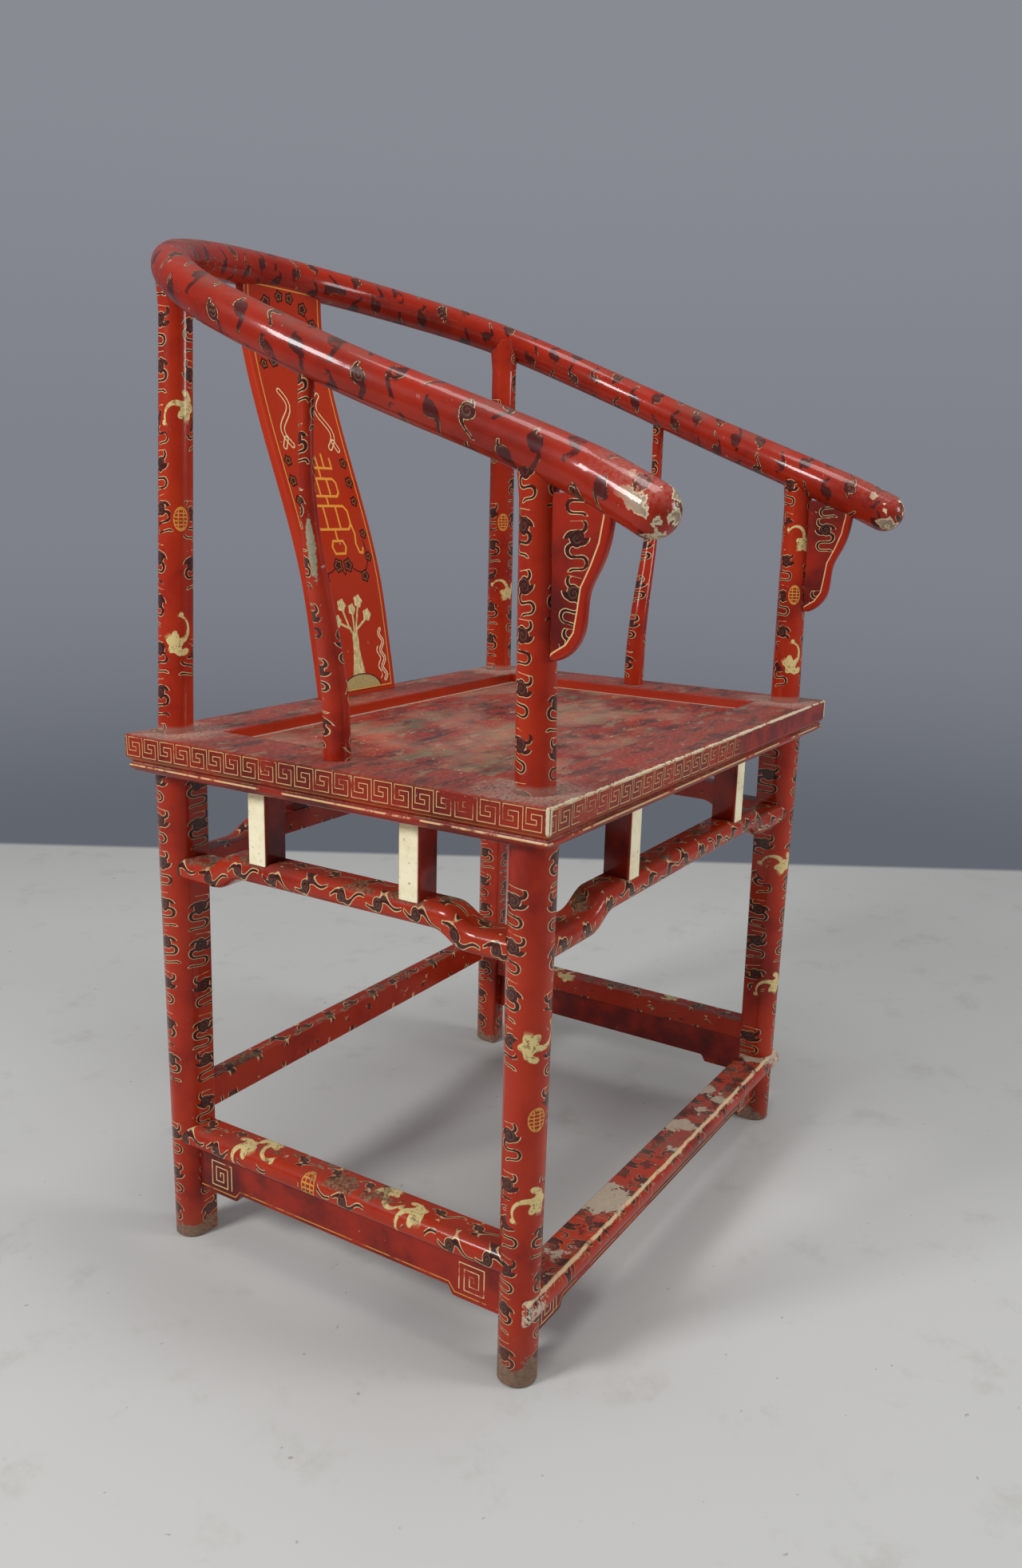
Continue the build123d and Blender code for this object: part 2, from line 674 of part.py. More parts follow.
# ---------------------------------------------------------------- left and right pairs
PAIRS = {
    "crest_shoulder": crest_shoulder_left,
    "crest_arm": crest_arm_left,
    "leg_front": leg_front_left,
    "leg_rear": leg_rear_left,
    "side_post": side_post_left,
    "arm_spandrel": arm_spandrel_left,
    "seat_side": seat_side_left,
    "batten": batten_left,
    "humpback": humpback_left,
    "stretcher": stretcher_left,
    "apron": apron_left,
}

os.makedirs("parts", exist_ok=True)
for piece in (
    crest_center,
    crest_pegs,
    splat,
    seat_front,
    seat_back,
    seat_panel,
    humpback_front,
    humpback_back,
    stretcher_back,
    footrest,
    footrest_apron,
):
    export_step(piece.part, f"parts/{piece.part.label}.step")

for name, piece in PAIRS.items():
    piece.part.label = f"{name}_left"
    export_step(piece.part, f"parts/{name}_left.step")
    twin = piece.part.mirror(Plane.YZ)
    twin.label = f"{name}_right"
    export_step(twin, f"parts/{name}_right.step")

for name, piece in struts.items():
    piece.label = name
    export_step(piece, f"parts/{name}.step")
    if "left" in name:
        twin = piece.mirror(Plane.YZ)
        twin.label = name.replace("left", "right")
        export_step(twin, f"parts/{twin.label}.step")
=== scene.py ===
# %% [markdown]
# This lesson dresses a red lacquered horseshoe back armchair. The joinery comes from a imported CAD
# frame, one object for each wooden piece, and no piece of it is moved or reshaped here. What is
# left to make is what a lacquer workshop does: the red ground, painted clouds and bats, gilt lines,
# and then two hundred years of hands, feet and dust.

import math
from functools import partial, reduce

import bpy
import numpy as np
from mathutils import Matrix, Vector


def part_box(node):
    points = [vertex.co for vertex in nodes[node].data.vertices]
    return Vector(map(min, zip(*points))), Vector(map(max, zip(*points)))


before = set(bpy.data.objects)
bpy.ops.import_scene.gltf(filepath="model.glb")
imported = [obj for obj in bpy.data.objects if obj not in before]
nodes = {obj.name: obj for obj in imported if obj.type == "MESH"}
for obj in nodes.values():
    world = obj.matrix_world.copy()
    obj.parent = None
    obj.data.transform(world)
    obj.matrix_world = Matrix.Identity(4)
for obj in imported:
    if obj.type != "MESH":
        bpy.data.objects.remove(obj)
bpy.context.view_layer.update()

# %% [markdown]
# A painted chair could be dressed with image textures, but then every line would have a fixed
# number of pixels. Here each motif is a distance formula instead, which stays sharp at any size. By
# hand that would be a wall of Math nodes, so one small class lets Python's operators build them.

# %% Shader values that Python can add and multiply
class Shade:
    """The output of a shader node. Python's operators on it add the nodes that work them out."""

    def __init__(self, socket):
        self.socket = socket
        self.tree = socket.id_data
        self.wide = socket.type in ("VECTOR", "RGBA")

    def __add__(self, other):
        return calculate("ADD", self, other)

    def __sub__(self, other):
        return calculate("SUBTRACT", self, other)

    def __rsub__(self, other):
        return calculate("SUBTRACT", other, self)

    def __mul__(self, other):
        return scaled(self, other) if self.wide else calculate("MULTIPLY", self, other)

    def __truediv__(self, other):
        return calculate("DIVIDE", self, other)

    def __rtruediv__(self, other):
        return calculate("DIVIDE", other, self)

    def __neg__(self):
        return self * -1

    __radd__ = __add__
    __rmul__ = __mul__


def make(tree, kind, settings=None, inputs=None, output=0):
    """Adds one node of any type: its settings first, then the values or links of its sockets."""
    node = tree.nodes.new(kind)
    for name, value in (settings or {}).items():
        setattr(node, name, value)
    for name, value in (inputs or {}).items():
        if isinstance(value, Shade):
            tree.links.new(value.socket, node.inputs[name])
        else:
            node.inputs[name].default_value = value
    return Shade(node.outputs[output]) if node.outputs else None


def calculate(operation, *terms, output=0):
    """A Math node, or a Vector Math node where a term is a vector."""
    shades = [term for term in terms if isinstance(term, Shade)]
    kind = "ShaderNodeVectorMath" if any(term.wide for term in shades) else "ShaderNodeMath"
    return make(shades[0].tree, kind, {"operation": operation}, dict(enumerate(terms)), output)


def scaled(vector, factor):
    """A vector made longer by a factor. One of the two, at least, is a shader value."""
    tree = (vector if isinstance(vector, Shade) else factor).tree
    facts = {0: vector, "Scale": factor}
    return make(tree, "ShaderNodeVectorMath", {"operation": "SCALE"}, facts)


print("operators ready")

# %% [markdown]
# A few words of shader arithmetic carry the whole lesson: the larger or smaller of two values, an
# angle, a soft step from one value to another, and a mask for what lies inside a distance.

# %% Shader words
most = partial(calculate, "MAXIMUM")
least = partial(calculate, "MINIMUM")
size_of = partial(calculate, "ABSOLUTE")
floor_of = partial(calculate, "FLOOR")
root = partial(calculate, "SQRT")
sine = partial(calculate, "SINE")
cosine = partial(calculate, "COSINE")
angle = partial(calculate, "ARCTAN2")


def reach(a, b):
    """Length of the slanting side over two sides put square to each other."""
    return root(a * a + b * b)


def closest(distances):
    """Distance to the nearest of several shapes."""
    return reduce(least, distances)


def rise(low, high, value):
    """0 below low, 1 above high and a soft step between."""
    limits = {"Value": value, 1: low, 2: high}
    return make(value.tree, "ShaderNodeMapRange", {"interpolation_type": "SMOOTHSTEP"}, limits)


def filled(distance, soft=0.25):
    """Mask of what lies inside a shape, from the distance to its edge."""
    return 1 - rise(-soft, soft, distance)


def lined(distance, half, soft=0.22):
    """Mask of a line along a shape's edge."""
    return 1 - rise(half - soft, half + soft, size_of(distance))


def grain(place, scale, detail, rough, stretch=None):
    """Soft noise between 0 and 1 over a place in millimetres."""
    if stretch:
        place = calculate("MULTIPLY", place, stretch)
    facts = {"Vector": place, "Scale": scale, "Detail": detail, "Roughness": rough}
    return make(place.tree, "ShaderNodeTexNoise", {}, facts)


def blend(mask, under, over):
    """One colour laid over another through a mask."""
    facts = {0: mask, 6: under, 7: over}
    return make(mask.tree, "ShaderNodeMix", {"data_type": "RGBA"}, facts, output=2)


def parts_of(vector):
    """The three numbers that a vector or a colour holds."""
    first = make(vector.tree, "ShaderNodeSeparateXYZ", {}, {0: vector})
    return [Shade(output) for output in first.socket.node.outputs]


def flat(across, up):
    """A flat place as a vector."""
    return make(up.tree, "ShaderNodeCombineXYZ", {}, {0: across, 1: up})


def fresh_tree(owner):
    """The emptied node tree of a new material or world."""
    owner.use_nodes = True
    owner.node_tree.nodes.clear()
    return owner.node_tree


print("words ready")

# %% [markdown]
# The palette is mixed as a lacquerer's: cinnabar red in a deep and a bright coat, near-black iron
# ink for the clouds, shell cream and gold for their outlines. The ground under the lacquer is a
# grey-white clay, which shows wherever the lacquer is chipped.

# %% Palette, as linear light
def rgb(red, green, blue):
    """A colour named by its usual 0 to 255 values, as the linear light that a shader wants."""
    def linear(value):
        value /= 255
        return value / 12.92 if value <= 0.04045 else ((value + 0.055) / 1.055) ** 2.4
    return (linear(red), linear(green), linear(blue), 1)


RED = rgb(158, 35, 12)
RED_BRIGHT = rgb(172, 46, 14)
RED_RAIL = rgb(140, 30, 11)
RED_DEEP = rgb(98, 20, 13)
MAROON = rgb(78, 17, 17)
INK = rgb(33, 18, 20)
INK_BROWN = rgb(70, 28, 26)
CREAM = rgb(232, 212, 170)
GOLD = rgb(214, 150, 66)
LINE_GOLD = rgb(228, 196, 142)
PALE_GOLD = rgb(228, 212, 158)
RUBBED = rgb(170, 112, 76)
CLAY = rgb(196, 184, 162)
WOOD = rgb(146, 128, 108)
DUST = rgb(160, 132, 118)
# Painted shade: a darker red ground for the parts under the seat and arms, and the seat frame.
SHADED_RED_GROUND = {"bright": RED, "mid": RED_DEEP, "deep": MAROON}
print("red:", [round(v, 3) for v in RED[:3]])

# %% [markdown]
# A lacquered surface is a colour coat under a clear, hard gloss. The Principled shader has just
# that: a base with its own roughness, and a coat on top. Light catches the coat, so it carries the
# soft highlights, while the bump underneath keeps them from looking like glass. The Bevel node
# rounds every cut edge by a millimetre in the shading, as thick lacquer does, and the difference
# between its normal and the true one is a ready-made mask for wear along edges. Three noises of
# different size serve everything uneven: specks of 3 mm, patches of 2 cm and washes of 8 cm.

# %% The surface that every finish shares
MM_PER_METRE = 1000
EDGE_ROUND = 0.0014


class Finish:
    """A material being painted: where it is, its colour so far, and how dull and how high it is."""

    def __init__(self, name):
        self.material = bpy.data.materials.new(name)
        self.tree = fresh_tree(self.material)
        spot = make(self.tree, "ShaderNodeTexCoord", output="Object")
        self.place = spot * MM_PER_METRE
        self.x, self.y, self.z = parts_of(self.place)
        self.normal = make(self.tree, "ShaderNodeNewGeometry", output="Normal")
        self.nx, self.ny, self.nz = parts_of(self.normal)
        soft = make(self.tree, "ShaderNodeBevel", {"samples": 6}, {"Radius": EDGE_ROUND})
        turn = calculate("DOT_PRODUCT", soft, self.normal, output="Value")
        self.soft_normal = soft
        self.edge = rise(0.015, 0.12, 1 - turn)
        self.speckle = grain(self.place, 0.35, 4, 0.65)
        self.patch = grain(self.place, 0.045, 5, 0.62)
        self.wash = grain(self.place, 0.012, 3, 0.5)
        self.rough = 0.34 + self.patch * 0.14
        self.height = self.wash * 1.2 + self.patch * 0.35 + self.speckle * 0.08
        self.coat = 0.72 - self.wash * 0.3
        self.extras = []

    def ragged(self, wide, fine=0):
        """An uneven offset in millimetres: so much from the patches, and so much from specks."""
        return (self.patch - 0.5) * wide + (self.speckle - 0.5) * fine

    def lay(self, mask, colour, rough, height=0):
        """Lays a colour over what is there, with its own dullness and thickness in millimetres."""
        self.colour = blend(mask, self.colour, colour)
        self.rough = self.rough + (rough - self.rough) * mask
        if height:
            self.height = self.height + mask * height
        return self

    def lacquer(self, bright=RED_BRIGHT, mid=RED, deep=RED_DEEP):
        """The red ground: coats of uneven depth, rubbed bright in places and dark in others."""
        depth = self.wash * 0.65 + self.patch * 0.35
        self.colour = blend(rise(0.36, 0.62, depth), bright, mid)
        self.colour = blend(rise(0.5, 0.74, depth) * 0.85, self.colour, deep)
        self.colour = blend(rise(0.6, 0.8, self.speckle) * 0.35, self.colour, MAROON)
        return self

    def wear(self, amount=1):
        """Edges rubbed through to gold-brown and chipped to the clay, and small chips anywhere."""
        rubbed = self.edge * rise(0.46, 0.6, self.patch * 0.55 + self.speckle * 0.45)
        self.lay(rubbed * (0.75 * amount), RUBBED, 0.45)
        chips = self.edge * rise(0.6, 0.66, self.patch * 0.5 + self.speckle * 0.5)
        self.lay(chips * amount, CLAY, 0.7, -0.25)
        pits = rise(0.715, 0.735, grain(self.place, 0.11, 4, 0.6))
        return self.lay(pits * (0.8 * amount), CLAY, 0.7, -0.25)

    def dust(self, amount):
        """Grey dust that lies on what faces up."""
        upward = rise(0.35, 0.95, self.nz) * rise(0.3, 0.75, self.wash * 0.5 + self.patch * 0.5)
        self.lay(upward * amount, DUST, 0.6)
        self.coat = self.coat * (1 - upward * amount)
        return self

    def close(self, coat_rough=0.12):
        """Joins what was painted to the shader, once, at the end."""
        bump = make(self.tree, "ShaderNodeBump", {}, {
            "Strength": 0.55, "Distance": 1 / MM_PER_METRE, "Height": self.height,
            "Normal": self.soft_normal})
        surface = make(self.tree, "ShaderNodeBsdfPrincipled", {}, {
            "Base Color": self.colour, "Roughness": self.rough, "Normal": bump,
            "Specular IOR Level": 0.1, "Coat Weight": self.coat, "Coat Roughness": coat_rough,
            "Coat IOR": 1.4, "IOR": 1.5})
        make(self.tree, "ShaderNodeOutputMaterial", {}, {"Surface": surface})
        return self.material


def dress(material, *names):
    """Gives CAD pieces their finish."""
    for name in names:
        nodes[name].data.materials.clear()
        nodes[name].data.materials.append(material)
    print(material.name, "on", ", ".join(names), "with", len(material.node_tree.nodes), "nodes")


# %% [markdown]
# The painter's clouds are all one gesture: a dark scalloped head with a spiral drawn in it, and a
# ribbon that swings from side to side and thins to nothing, everything outlined in cream with a
# fine brush. Drawn as a distance, the head is a circle whose radius swells three times round. The
# ribbon runs to and fro in lanes with a round turn at each end, or along a sine wave where it has
# to be longer and lower. The surface is first cut into cells, each with three random numbers, and
# each cell gets one cloud, turned and moved by its own numbers.

# %% Cells and clouds
ROW_SHIFT = 0.43


def cells(along, around, long, wide, seed, columns=None):
    """Cuts a surface into staggered cells: place within the cell, and three random numbers.

    On a tube that is a number of columns round, the cells meet again behind it."""
    column = floor_of(around / wide)
    turn = column if columns is None else column - floor_of(column / columns) * columns
    shifted = along + turn * (long * ROW_SHIFT)
    row = floor_of(shifted / long)
    key = make(along.tree, "ShaderNodeCombineXYZ", {}, {0: row, 1: turn, 2: seed})
    luck = make(along.tree, "ShaderNodeTexWhiteNoise", {}, {"Vector": key}, output="Color")
    return shifted - (row + 0.5) * long, around - (column + 0.5) * wide, parts_of(luck)


def meander(down, across, pitch, width):
    """Distance to a line that runs to and fro, with a round turn at the end of each lane."""
    lane = down / pitch
    middle = (floor_of(lane) + 0.5) * pitch
    pair = lane * 0.5 - floor_of(lane * 0.5)
    out = across * (1 - rise(0.499, 0.501, pair) * 2)
    near_turn = reach(down - middle, most(out - width, 0))
    mirrored = floor_of(lane + 0.5) * (pitch * 2) - middle
    far_turn = reach(down - mirrored, most(-out - width, 0))
    return size_of(far_turn + (near_turn - far_turn) * rise(-0.01, 0.01, out) - pitch * 0.5)


def wave_line(down, across, wave, swing):
    """Distance to a sine wave, corrected for how steep it runs."""
    turns = down * (math.tau / wave)
    steep = cosine(turns) * swing * (math.tau / wave)
    return size_of(across - sine(turns) * swing) / root(steep * steep + 1)


def cloud(a, b, luck, head=6.6, tail=22, wave=16, swing=8, drift=6, lanes=True):
    """Distance to a cloud's outline, and to the spiral in its head."""
    first, second, third = luck
    side = rise(0.49, 0.51, first) * 2 - 1
    a = a + (second - 0.5) * drift - tail * 0.22
    b = b * side + (third - 0.5) * (drift * 0.5)
    lean = (third - 0.5) * 0.5
    swing = swing * (0.78 + third * 0.4)
    a, b = a + b * lean, b - a * lean
    far = reach(a, b)
    turn = angle(b, a)
    head_edge = far - (head + cosine(turn * 3 + second * 6) * (head * 0.08))
    spacing = head * 0.52
    curl = turn / math.tau + far / spacing
    spiral = most(size_of(curl - floor_of(curl) - 0.5) * spacing - 0.42, far - head * 0.8)
    below = rise(-0.1, 0.1, -a)
    down = size_of(a)
    limit = tail * (0.5 + below * 0.5)
    left = most(1 - down / (limit * 1.4), 0.1)
    across = b * (below * 2 - 1)
    if lanes:
        line = meander(down + wave * 0.25, across, wave * 0.5, swing - wave * 0.25)
    else:
        line = wave_line(down, across, wave, left * swing)
    out = across / swing
    ribbon = most(line - (0.75 + (0.55 + out * out * 0.9) * left), down - limit)
    return least(head_edge, ribbon), spiral


def paint_clouds(work, along, around, wide, seed, long=39, clear=(), outline=0.9, columns=None,
                 **shape):
    """Paints a cloud in most cells. clear holds masks of where none may be."""
    a, b, luck = cells(along, around, long, wide, seed, columns)
    edge, spiral = cloud(a, b, luck, **shape)
    rubbed = rise(0.34, 0.5, grain(work.place, 0.09, 3, 0.6))
    free = rise(0.07, 0.08, luck[2])
    if clear:
        free = free * (1 - reduce(most, clear))
    ink = blend(rise(0.35, 0.7, work.speckle), INK, INK_BROWN)
    work.lay(filled(edge, 0.3) * (free * 0.93), ink, 0.3, 0.05)
    brush = rubbed * (free * outline)
    work.lay(lined(edge, 0.26, 0.16) * brush, LINE_GOLD, 0.4, 0.12)
    curl = lined(spiral, 0.1, 0.15) * filled(spiral + 0.1)
    work.lay(curl * brush * 0.8, LINE_GOLD, 0.4, 0.12)


# %% [markdown]
# Between the clouds fly a few pale gold bats, and here and there sits a round gilt medallion. The
# bat is a fat body with a long curling tail, which is a ring cut to a part of its circle and made
# thicker towards one end. The medallion is an oval lattice of bars. Each is placed one by one, by
# its distance along the piece and round it and its turn in degrees, and keeps the clouds off.

# %% Bats and medallions
BAT_SCALE = 0.7
BAT_GOLD = rgb(218, 196, 134)
RUBBED_GOLD = rgb(140, 104, 54)


def bat(a, b):
    """Distance to a bat: a scalloped body, a curling tail and a second small wing."""
    a, b = a * BAT_SCALE, b * BAT_SCALE
    body_turn = angle(b - 3.5, a - 6.5)
    body = reach((a - 6.5) * 0.72, b - 3.5) - (5.2 + cosine(body_turn * 5 + 1) * 0.9)
    turn = angle(b + 1, a + 1.5)
    ring = size_of(reach(a + 1.5, b + 1) - 8) - (0.6 + rise(-2.4, 1, turn) * 1.6)
    tail = most(ring, most(turn - 1.3, -2.6 - turn))
    tip = reach(a + 8.6, b + 6.5) - 1.6
    wing = reach((a - 13.5) * 1.3, (b + 1) * 0.8) - 2.7
    return least(least(body, wing), least(tail, tip))


def medallion(a, b, tall=9.5, broad=7, spacing=3.2):
    """Distance to a gilt lattice in an oval."""
    oval = reach(a * (broad / tall), b) - broad
    bars = size_of(a / spacing - floor_of(a / spacing) - 0.5) * spacing - 0.55
    posts = size_of(size_of(b) - 2.6) - 0.5
    lattice = most(least(bars, posts), oval)
    return least(size_of(oval) - 0.55, lattice)


def placed(shape, along, around, where):
    """Distance to one copy of a shape at a place, turned a little."""
    s, t, turned = where
    lean, across = math.cos(math.radians(turned)), math.sin(math.radians(turned))
    a, b = along - s, around - t
    return shape(a * lean + b * across, b * lean - a * across)


def plan_extras(work, along, around, bats, medals):
    """Sets out bats and medallions, and returns the masks that keep the clouds off them."""
    clear = []
    for shape, places, colour in ((bat, bats, BAT_GOLD), (medallion, medals, GOLD)):
        if places:
            edge = closest(placed(shape, along, around, where) for where in places)
            clear.append(filled(edge - 3, 0.5))
            tone = blend(rise(0.52, 0.66, work.speckle), colour, RUBBED_GOLD)
            work.extras.append((edge, tone))
    return clear


def lay_extras(work):
    """Lays the waiting bats and medallions on top of the clouds."""
    for edge, tone in work.extras:
        work.lay(filled(edge, 0.3), tone, 0.42, 0.12)


print("painter's motifs ready")

# %% [markdown]
# Each leg and post is painted as an unrolled tube: height along it, and distance round it. The legs
# are single lengths of timber that lean in above the seat, so their centreline bends at the seat.
# The round is measured from the side that looks towards the sitter's right front, so the seam falls
# on the far side, and each column of cells is a third of the way round. The table holds each leg's
# centreline, its side, how high its foot is bare, its bats, its medallions and its seed.

# %% Legs
SEAT_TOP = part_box("seat_front")[1].z * MM_PER_METRE
SIDE_OUT = 269
FRONT_OUT = -203
BACK_OUT = 172
FRONT_LEG = (SIDE_OUT, FRONT_OUT, 271, -199, 745)
REAR_LEG = (SIDE_OUT, BACK_OUT, 256, 166, 889)
LEG_ROUND = 17
LEG_COLUMNS = 3
FACING = (-0.521, -0.854)
GREY_WOOD = rgb(112, 96, 80)
# A darker brown that the legs take on towards the foot.
FOOT_BROWN = rgb(120, 70, 58)
LEGS = {
    "front_right": (FRONT_LEG, -1, 20, [(312, 1.6, 200), (162, -3, 20)], [(242, 1.2, 0)], 3),
    "rear_right": (REAR_LEG, -1, 9, [(771, -1.1, 30), (590, -2.5, 160)], [(686, 1.7, 0)], 5),
    "front_left": (FRONT_LEG, 1, 8, [(676, -9, 90), (552, -8.6, 150), (315, -9, 60), (166, -5, 30)],
                   [(617, -8.6, 0)], 7),
    "rear_left": (REAR_LEG, 1, 8, [(599, -6.4, 80)], [(681, -5, 0)], 9),
}


def round_post(across, back, radius):
    """Distance round a post from the side that faces FACING."""
    ahead = across * FACING[0] + back * FACING[1]
    right = across * -FACING[1] + back * FACING[0]
    return angle(right, ahead) * radius


def unroll_leg(work, line, side):
    """Distance round a leg, whose middle leans from the seat to its top."""
    foot_x, foot_y, top_x, top_y, top_z = line
    share = most(work.z - SEAT_TOP, 0) / (top_z - SEAT_TOP)
    across = work.x - (foot_x + share * (top_x - foot_x)) * side
    back = work.y - (foot_y + share * (top_y - foot_y))
    return round_post(across, back, LEG_ROUND)


def leg_finish(name, line, side, bare, bats, medals, seed):
    """A leg: clouds, its own bats and medallions, and a foot rubbed bare."""
    work = Finish(name).lacquer()
    around = unroll_leg(work, line, side)
    clear = plan_extras(work, work.z, around, bats, medals)
    paint_clouds(work, work.z, around + 4, wide=math.tau * LEG_ROUND / LEG_COLUMNS, seed=seed,
                 clear=clear, columns=LEG_COLUMNS)
    lay_extras(work)
    work.wear(0.8)
    rubbed = 1 - rise(bare - 1, bare + 1.5, work.z + work.ragged(70, 26))
    work.lay(rubbed, blend(rise(0.35, 0.7, work.speckle), WOOD, GREY_WOOD), 0.75, -0.3)
    work.coat = work.coat * (1 - rubbed)
    # Darker brown towards the foot, over the lowest 70 mm or so.
    darker_to_foot = 1 - rise(2, 70, work.z + work.ragged(30))
    work.lay(darker_to_foot * 0.35, FOOT_BROWN, 0.55)
    seat_dust = filled(size_of(work.z - SEAT_TOP) - 3 - work.patch * 6, 2)
    work.lay(seat_dust * 0.5, DUST, 0.7)
    return work.close()


for name, facts in LEGS.items():
    dress(leg_finish(f"lacquer_leg_{name}", *facts), f"leg_{name}")

# %% [markdown]
# The side posts are thin and bowed outwards, so the cells there are smaller. Their bow is close to
# a soft step from the seat to the arm, which is all that the unrolling needs. One of them has lost
# a long flake of lacquer.

# %% Side posts
POST_ROUND = 8
POST_COLUMNS = 2
POST_IN, POST_BOW, POST_BACK = 271, 33, -16
SCAR_HEIGHT = 672
SCAR_PALE, SCAR_DARK = rgb(182, 174, 146), rgb(120, 116, 96)


def side_post_finish(name, side, seed, scar):
    """A side post: two columns of small clouds, and on one of them a long pale chip."""
    work = Finish(name).lacquer()
    bow = (POST_IN + rise(530, 700, work.z) * POST_BOW) * side
    around = round_post(work.x - bow, work.y - POST_BACK, POST_ROUND)
    paint_clouds(work, work.z, around, long=44, wide=math.tau * POST_ROUND / POST_COLUMNS,
                 seed=seed, head=4.8, tail=20, wave=13, swing=6)
    if scar:
        torn = reach((work.z - SCAR_HEIGHT) * 0.18, around + 2) + work.ragged(7, 4) - 4.4
        work.lay(filled(torn, 0.4), blend(work.speckle, SCAR_PALE, SCAR_DARK), 0.7, -0.3)
    return work.wear(0.7).close()


for side, *facts in (("right", -1, 11, True), ("left", 1, 13, False)):
    dress(side_post_finish(f"lacquer_side_post_{side}", *facts), f"side_post_{side}")

# %% [markdown]
# The crest rail bends in three directions, so unrolling it needs its centreline. Behind the arms
# the rail runs round a centre like a compass line, and along the arms it runs forward, so the place
# on it is an angle for the one and a distance for the other. A polynomial fitted to the rail's own
# points gives the middle of the rail and the length along it at each such place.

# %% Crest rail
RAIL = np.array([
    (0, 291.5, 932), (90, 275, 927), (178, 233, 913), (251, 175, 892), (294, 105, 862),
    (304, 17, 826), (294, -77, 789), (277, -165, 757), (269.5, -237, 730), (277, -291, 706),
])
BACK_POINTS, ARM_POINTS = slice(0, 7), slice(4, 10)
RAIL_ROUND = 18.2
RAIL_COLUMNS = 3
RAIL_CENTRE = 40
RAIL_SEED = 21
# Rubbed red and painted sheen: a pinkish red for the tops near the arm ends.
RUBBED_RED_AND_SHEEN = rgb(178, 108, 98)
steps = np.linalg.norm(np.diff(RAIL, axis=0), axis=1)
length = np.concatenate([[0], np.cumsum(steps)])
print("half the rail is", round(float(length[-1])), "mm long")


def fitted(variable, at, values, degree=4):
    """A shader polynomial through measured values, with its variable scaled to about one."""
    span = float(np.abs(at).max())
    first, *others = np.polyfit(np.asarray(at) / span, values, degree)
    unit = variable / span
    total = float(first)
    for term in others:
        total = unit * total + float(term)
    return total


def unroll_rail(work):
    """Length along the crest rail from the middle of the back, and distance round it."""
    side_x = size_of(work.x)
    behind = work.y - RAIL_CENTRE
    compass = angle(side_x, behind)
    x, y, z = RAIL[BACK_POINTS].T
    turns, out = np.arctan2(x, y - RAIL_CENTRE), np.hypot(x, y - RAIL_CENTRE)
    back = (reach(side_x, behind) - fitted(compass, turns, out),
            work.z - fitted(compass, turns, z), fitted(compass, turns, length[BACK_POINTS]))
    x, y, z = RAIL[ARM_POINTS].T
    arm = (side_x - fitted(work.y, y, x),
           work.z - fitted(work.y, y, z), fitted(work.y, y, length[ARM_POINTS]))
    on_back = rise(-0.01, 0.01, behind)
    out_by, up_by, along = (a + (b - a) * on_back for a, b in zip(arm, back))
    return along, angle(up_by, out_by) * RAIL_ROUND


def rail_finish(name, worn_end):
    """A length of crest rail: large blurred clouds, gloss on top, and a more or less worn end."""
    work = Finish(name).lacquer(bright=RED, mid=RED_RAIL)
    along, around = unroll_rail(work)
    signed = rise(-0.01, 0.01, work.x) * 2 - 1
    wide = math.tau * RAIL_ROUND / RAIL_COLUMNS
    a, b, luck = cells(around + 7, along * signed, wide, 29, RAIL_SEED)
    edge, spiral = cloud(a, b, luck, head=6.2, tail=19, wave=34, swing=6, drift=8, lanes=False)
    blurred = edge - 0.7 + work.ragged(3, 3)
    ink = blend(work.patch, INK, INK_BROWN)
    work.lay(filled(blurred, 0.5) * rise(0.32, 0.4, work.patch) * 0.88, ink, 0.32, 0.05)
    shown = rise(0.5, 0.58, grain(work.place, 0.03, 2, 0.5)) * rise(0.4, 0.52, work.speckle)
    work.lay(lined(edge - 0.2, 0.25) * shown * 0.75, PALE_GOLD, 0.45, 0.1)
    work.lay(lined(spiral, 0.1) * filled(spiral) * shown * 0.5, PALE_GOLD, 0.45, 0.1)
    work.wear(0.8)
    near_end = 1 - rise(-300, -215, work.y)
    # Rubbed lacquer and painted sheen: pinkish red on what faces up near the arm's end.
    rubbed_and_sheen = near_end * rise(-0.2, 0.7, work.nz) * rise(0.35, 0.6, work.speckle)
    work.lay(rubbed_and_sheen * (0.2 + 0.3 * worn_end), RUBBED_RED_AND_SHEEN, 0.55)
    hand = 1 - rise(-302, -262, work.y)
    bare = grain(work.place, 0.055, 4, 0.55) + hand * (0.1 * worn_end)
    work.lay(rise(0.595, 0.61, bare) * hand, blend(work.speckle, CREAM, CLAY), 0.7, -0.5)
    work.lay(rise(0.64, 0.67, bare) * hand, WOOD, 0.8, -0.3)
    return work.dust(0.3).close(coat_rough=0.1)


dress(rail_finish("lacquer_rail", 0),
      "crest_center", "crest_shoulder_left", "crest_shoulder_right", "crest_pegs")
for side, worn_end in (("left", 0.45), ("right", 1)):
    dress(rail_finish(f"lacquer_arm_{side}", worn_end), f"crest_arm_{side}")

# %% [markdown]
# Stretchers are painted with a running band of clouds along the rounded outer face. Unrolling one
# is the same as for a post laid on its side: length along it, and the turn about its middle line.
# The humpbacks rise by a soft step, which the middle line follows.

# %% Stretchers
SIDE_MIDDLE = (FRONT_OUT + BACK_OUT) / 2
BAR_ROUND = 13
HUMP_LOW = 375.5
HUMP_RISE = 13
STAIN_TAN, STAIN_DARK = rgb(132, 112, 78), rgb(88, 44, 40)
SIDE_HUMP, LONG_HUMP = (106, 141), (158, 198)
HUMPS = {"left": (SIDE_HUMP, 31), "right": (SIDE_HUMP, 33),
         "front": (LONG_HUMP, 35), "back": (LONG_HUMP, 37)}


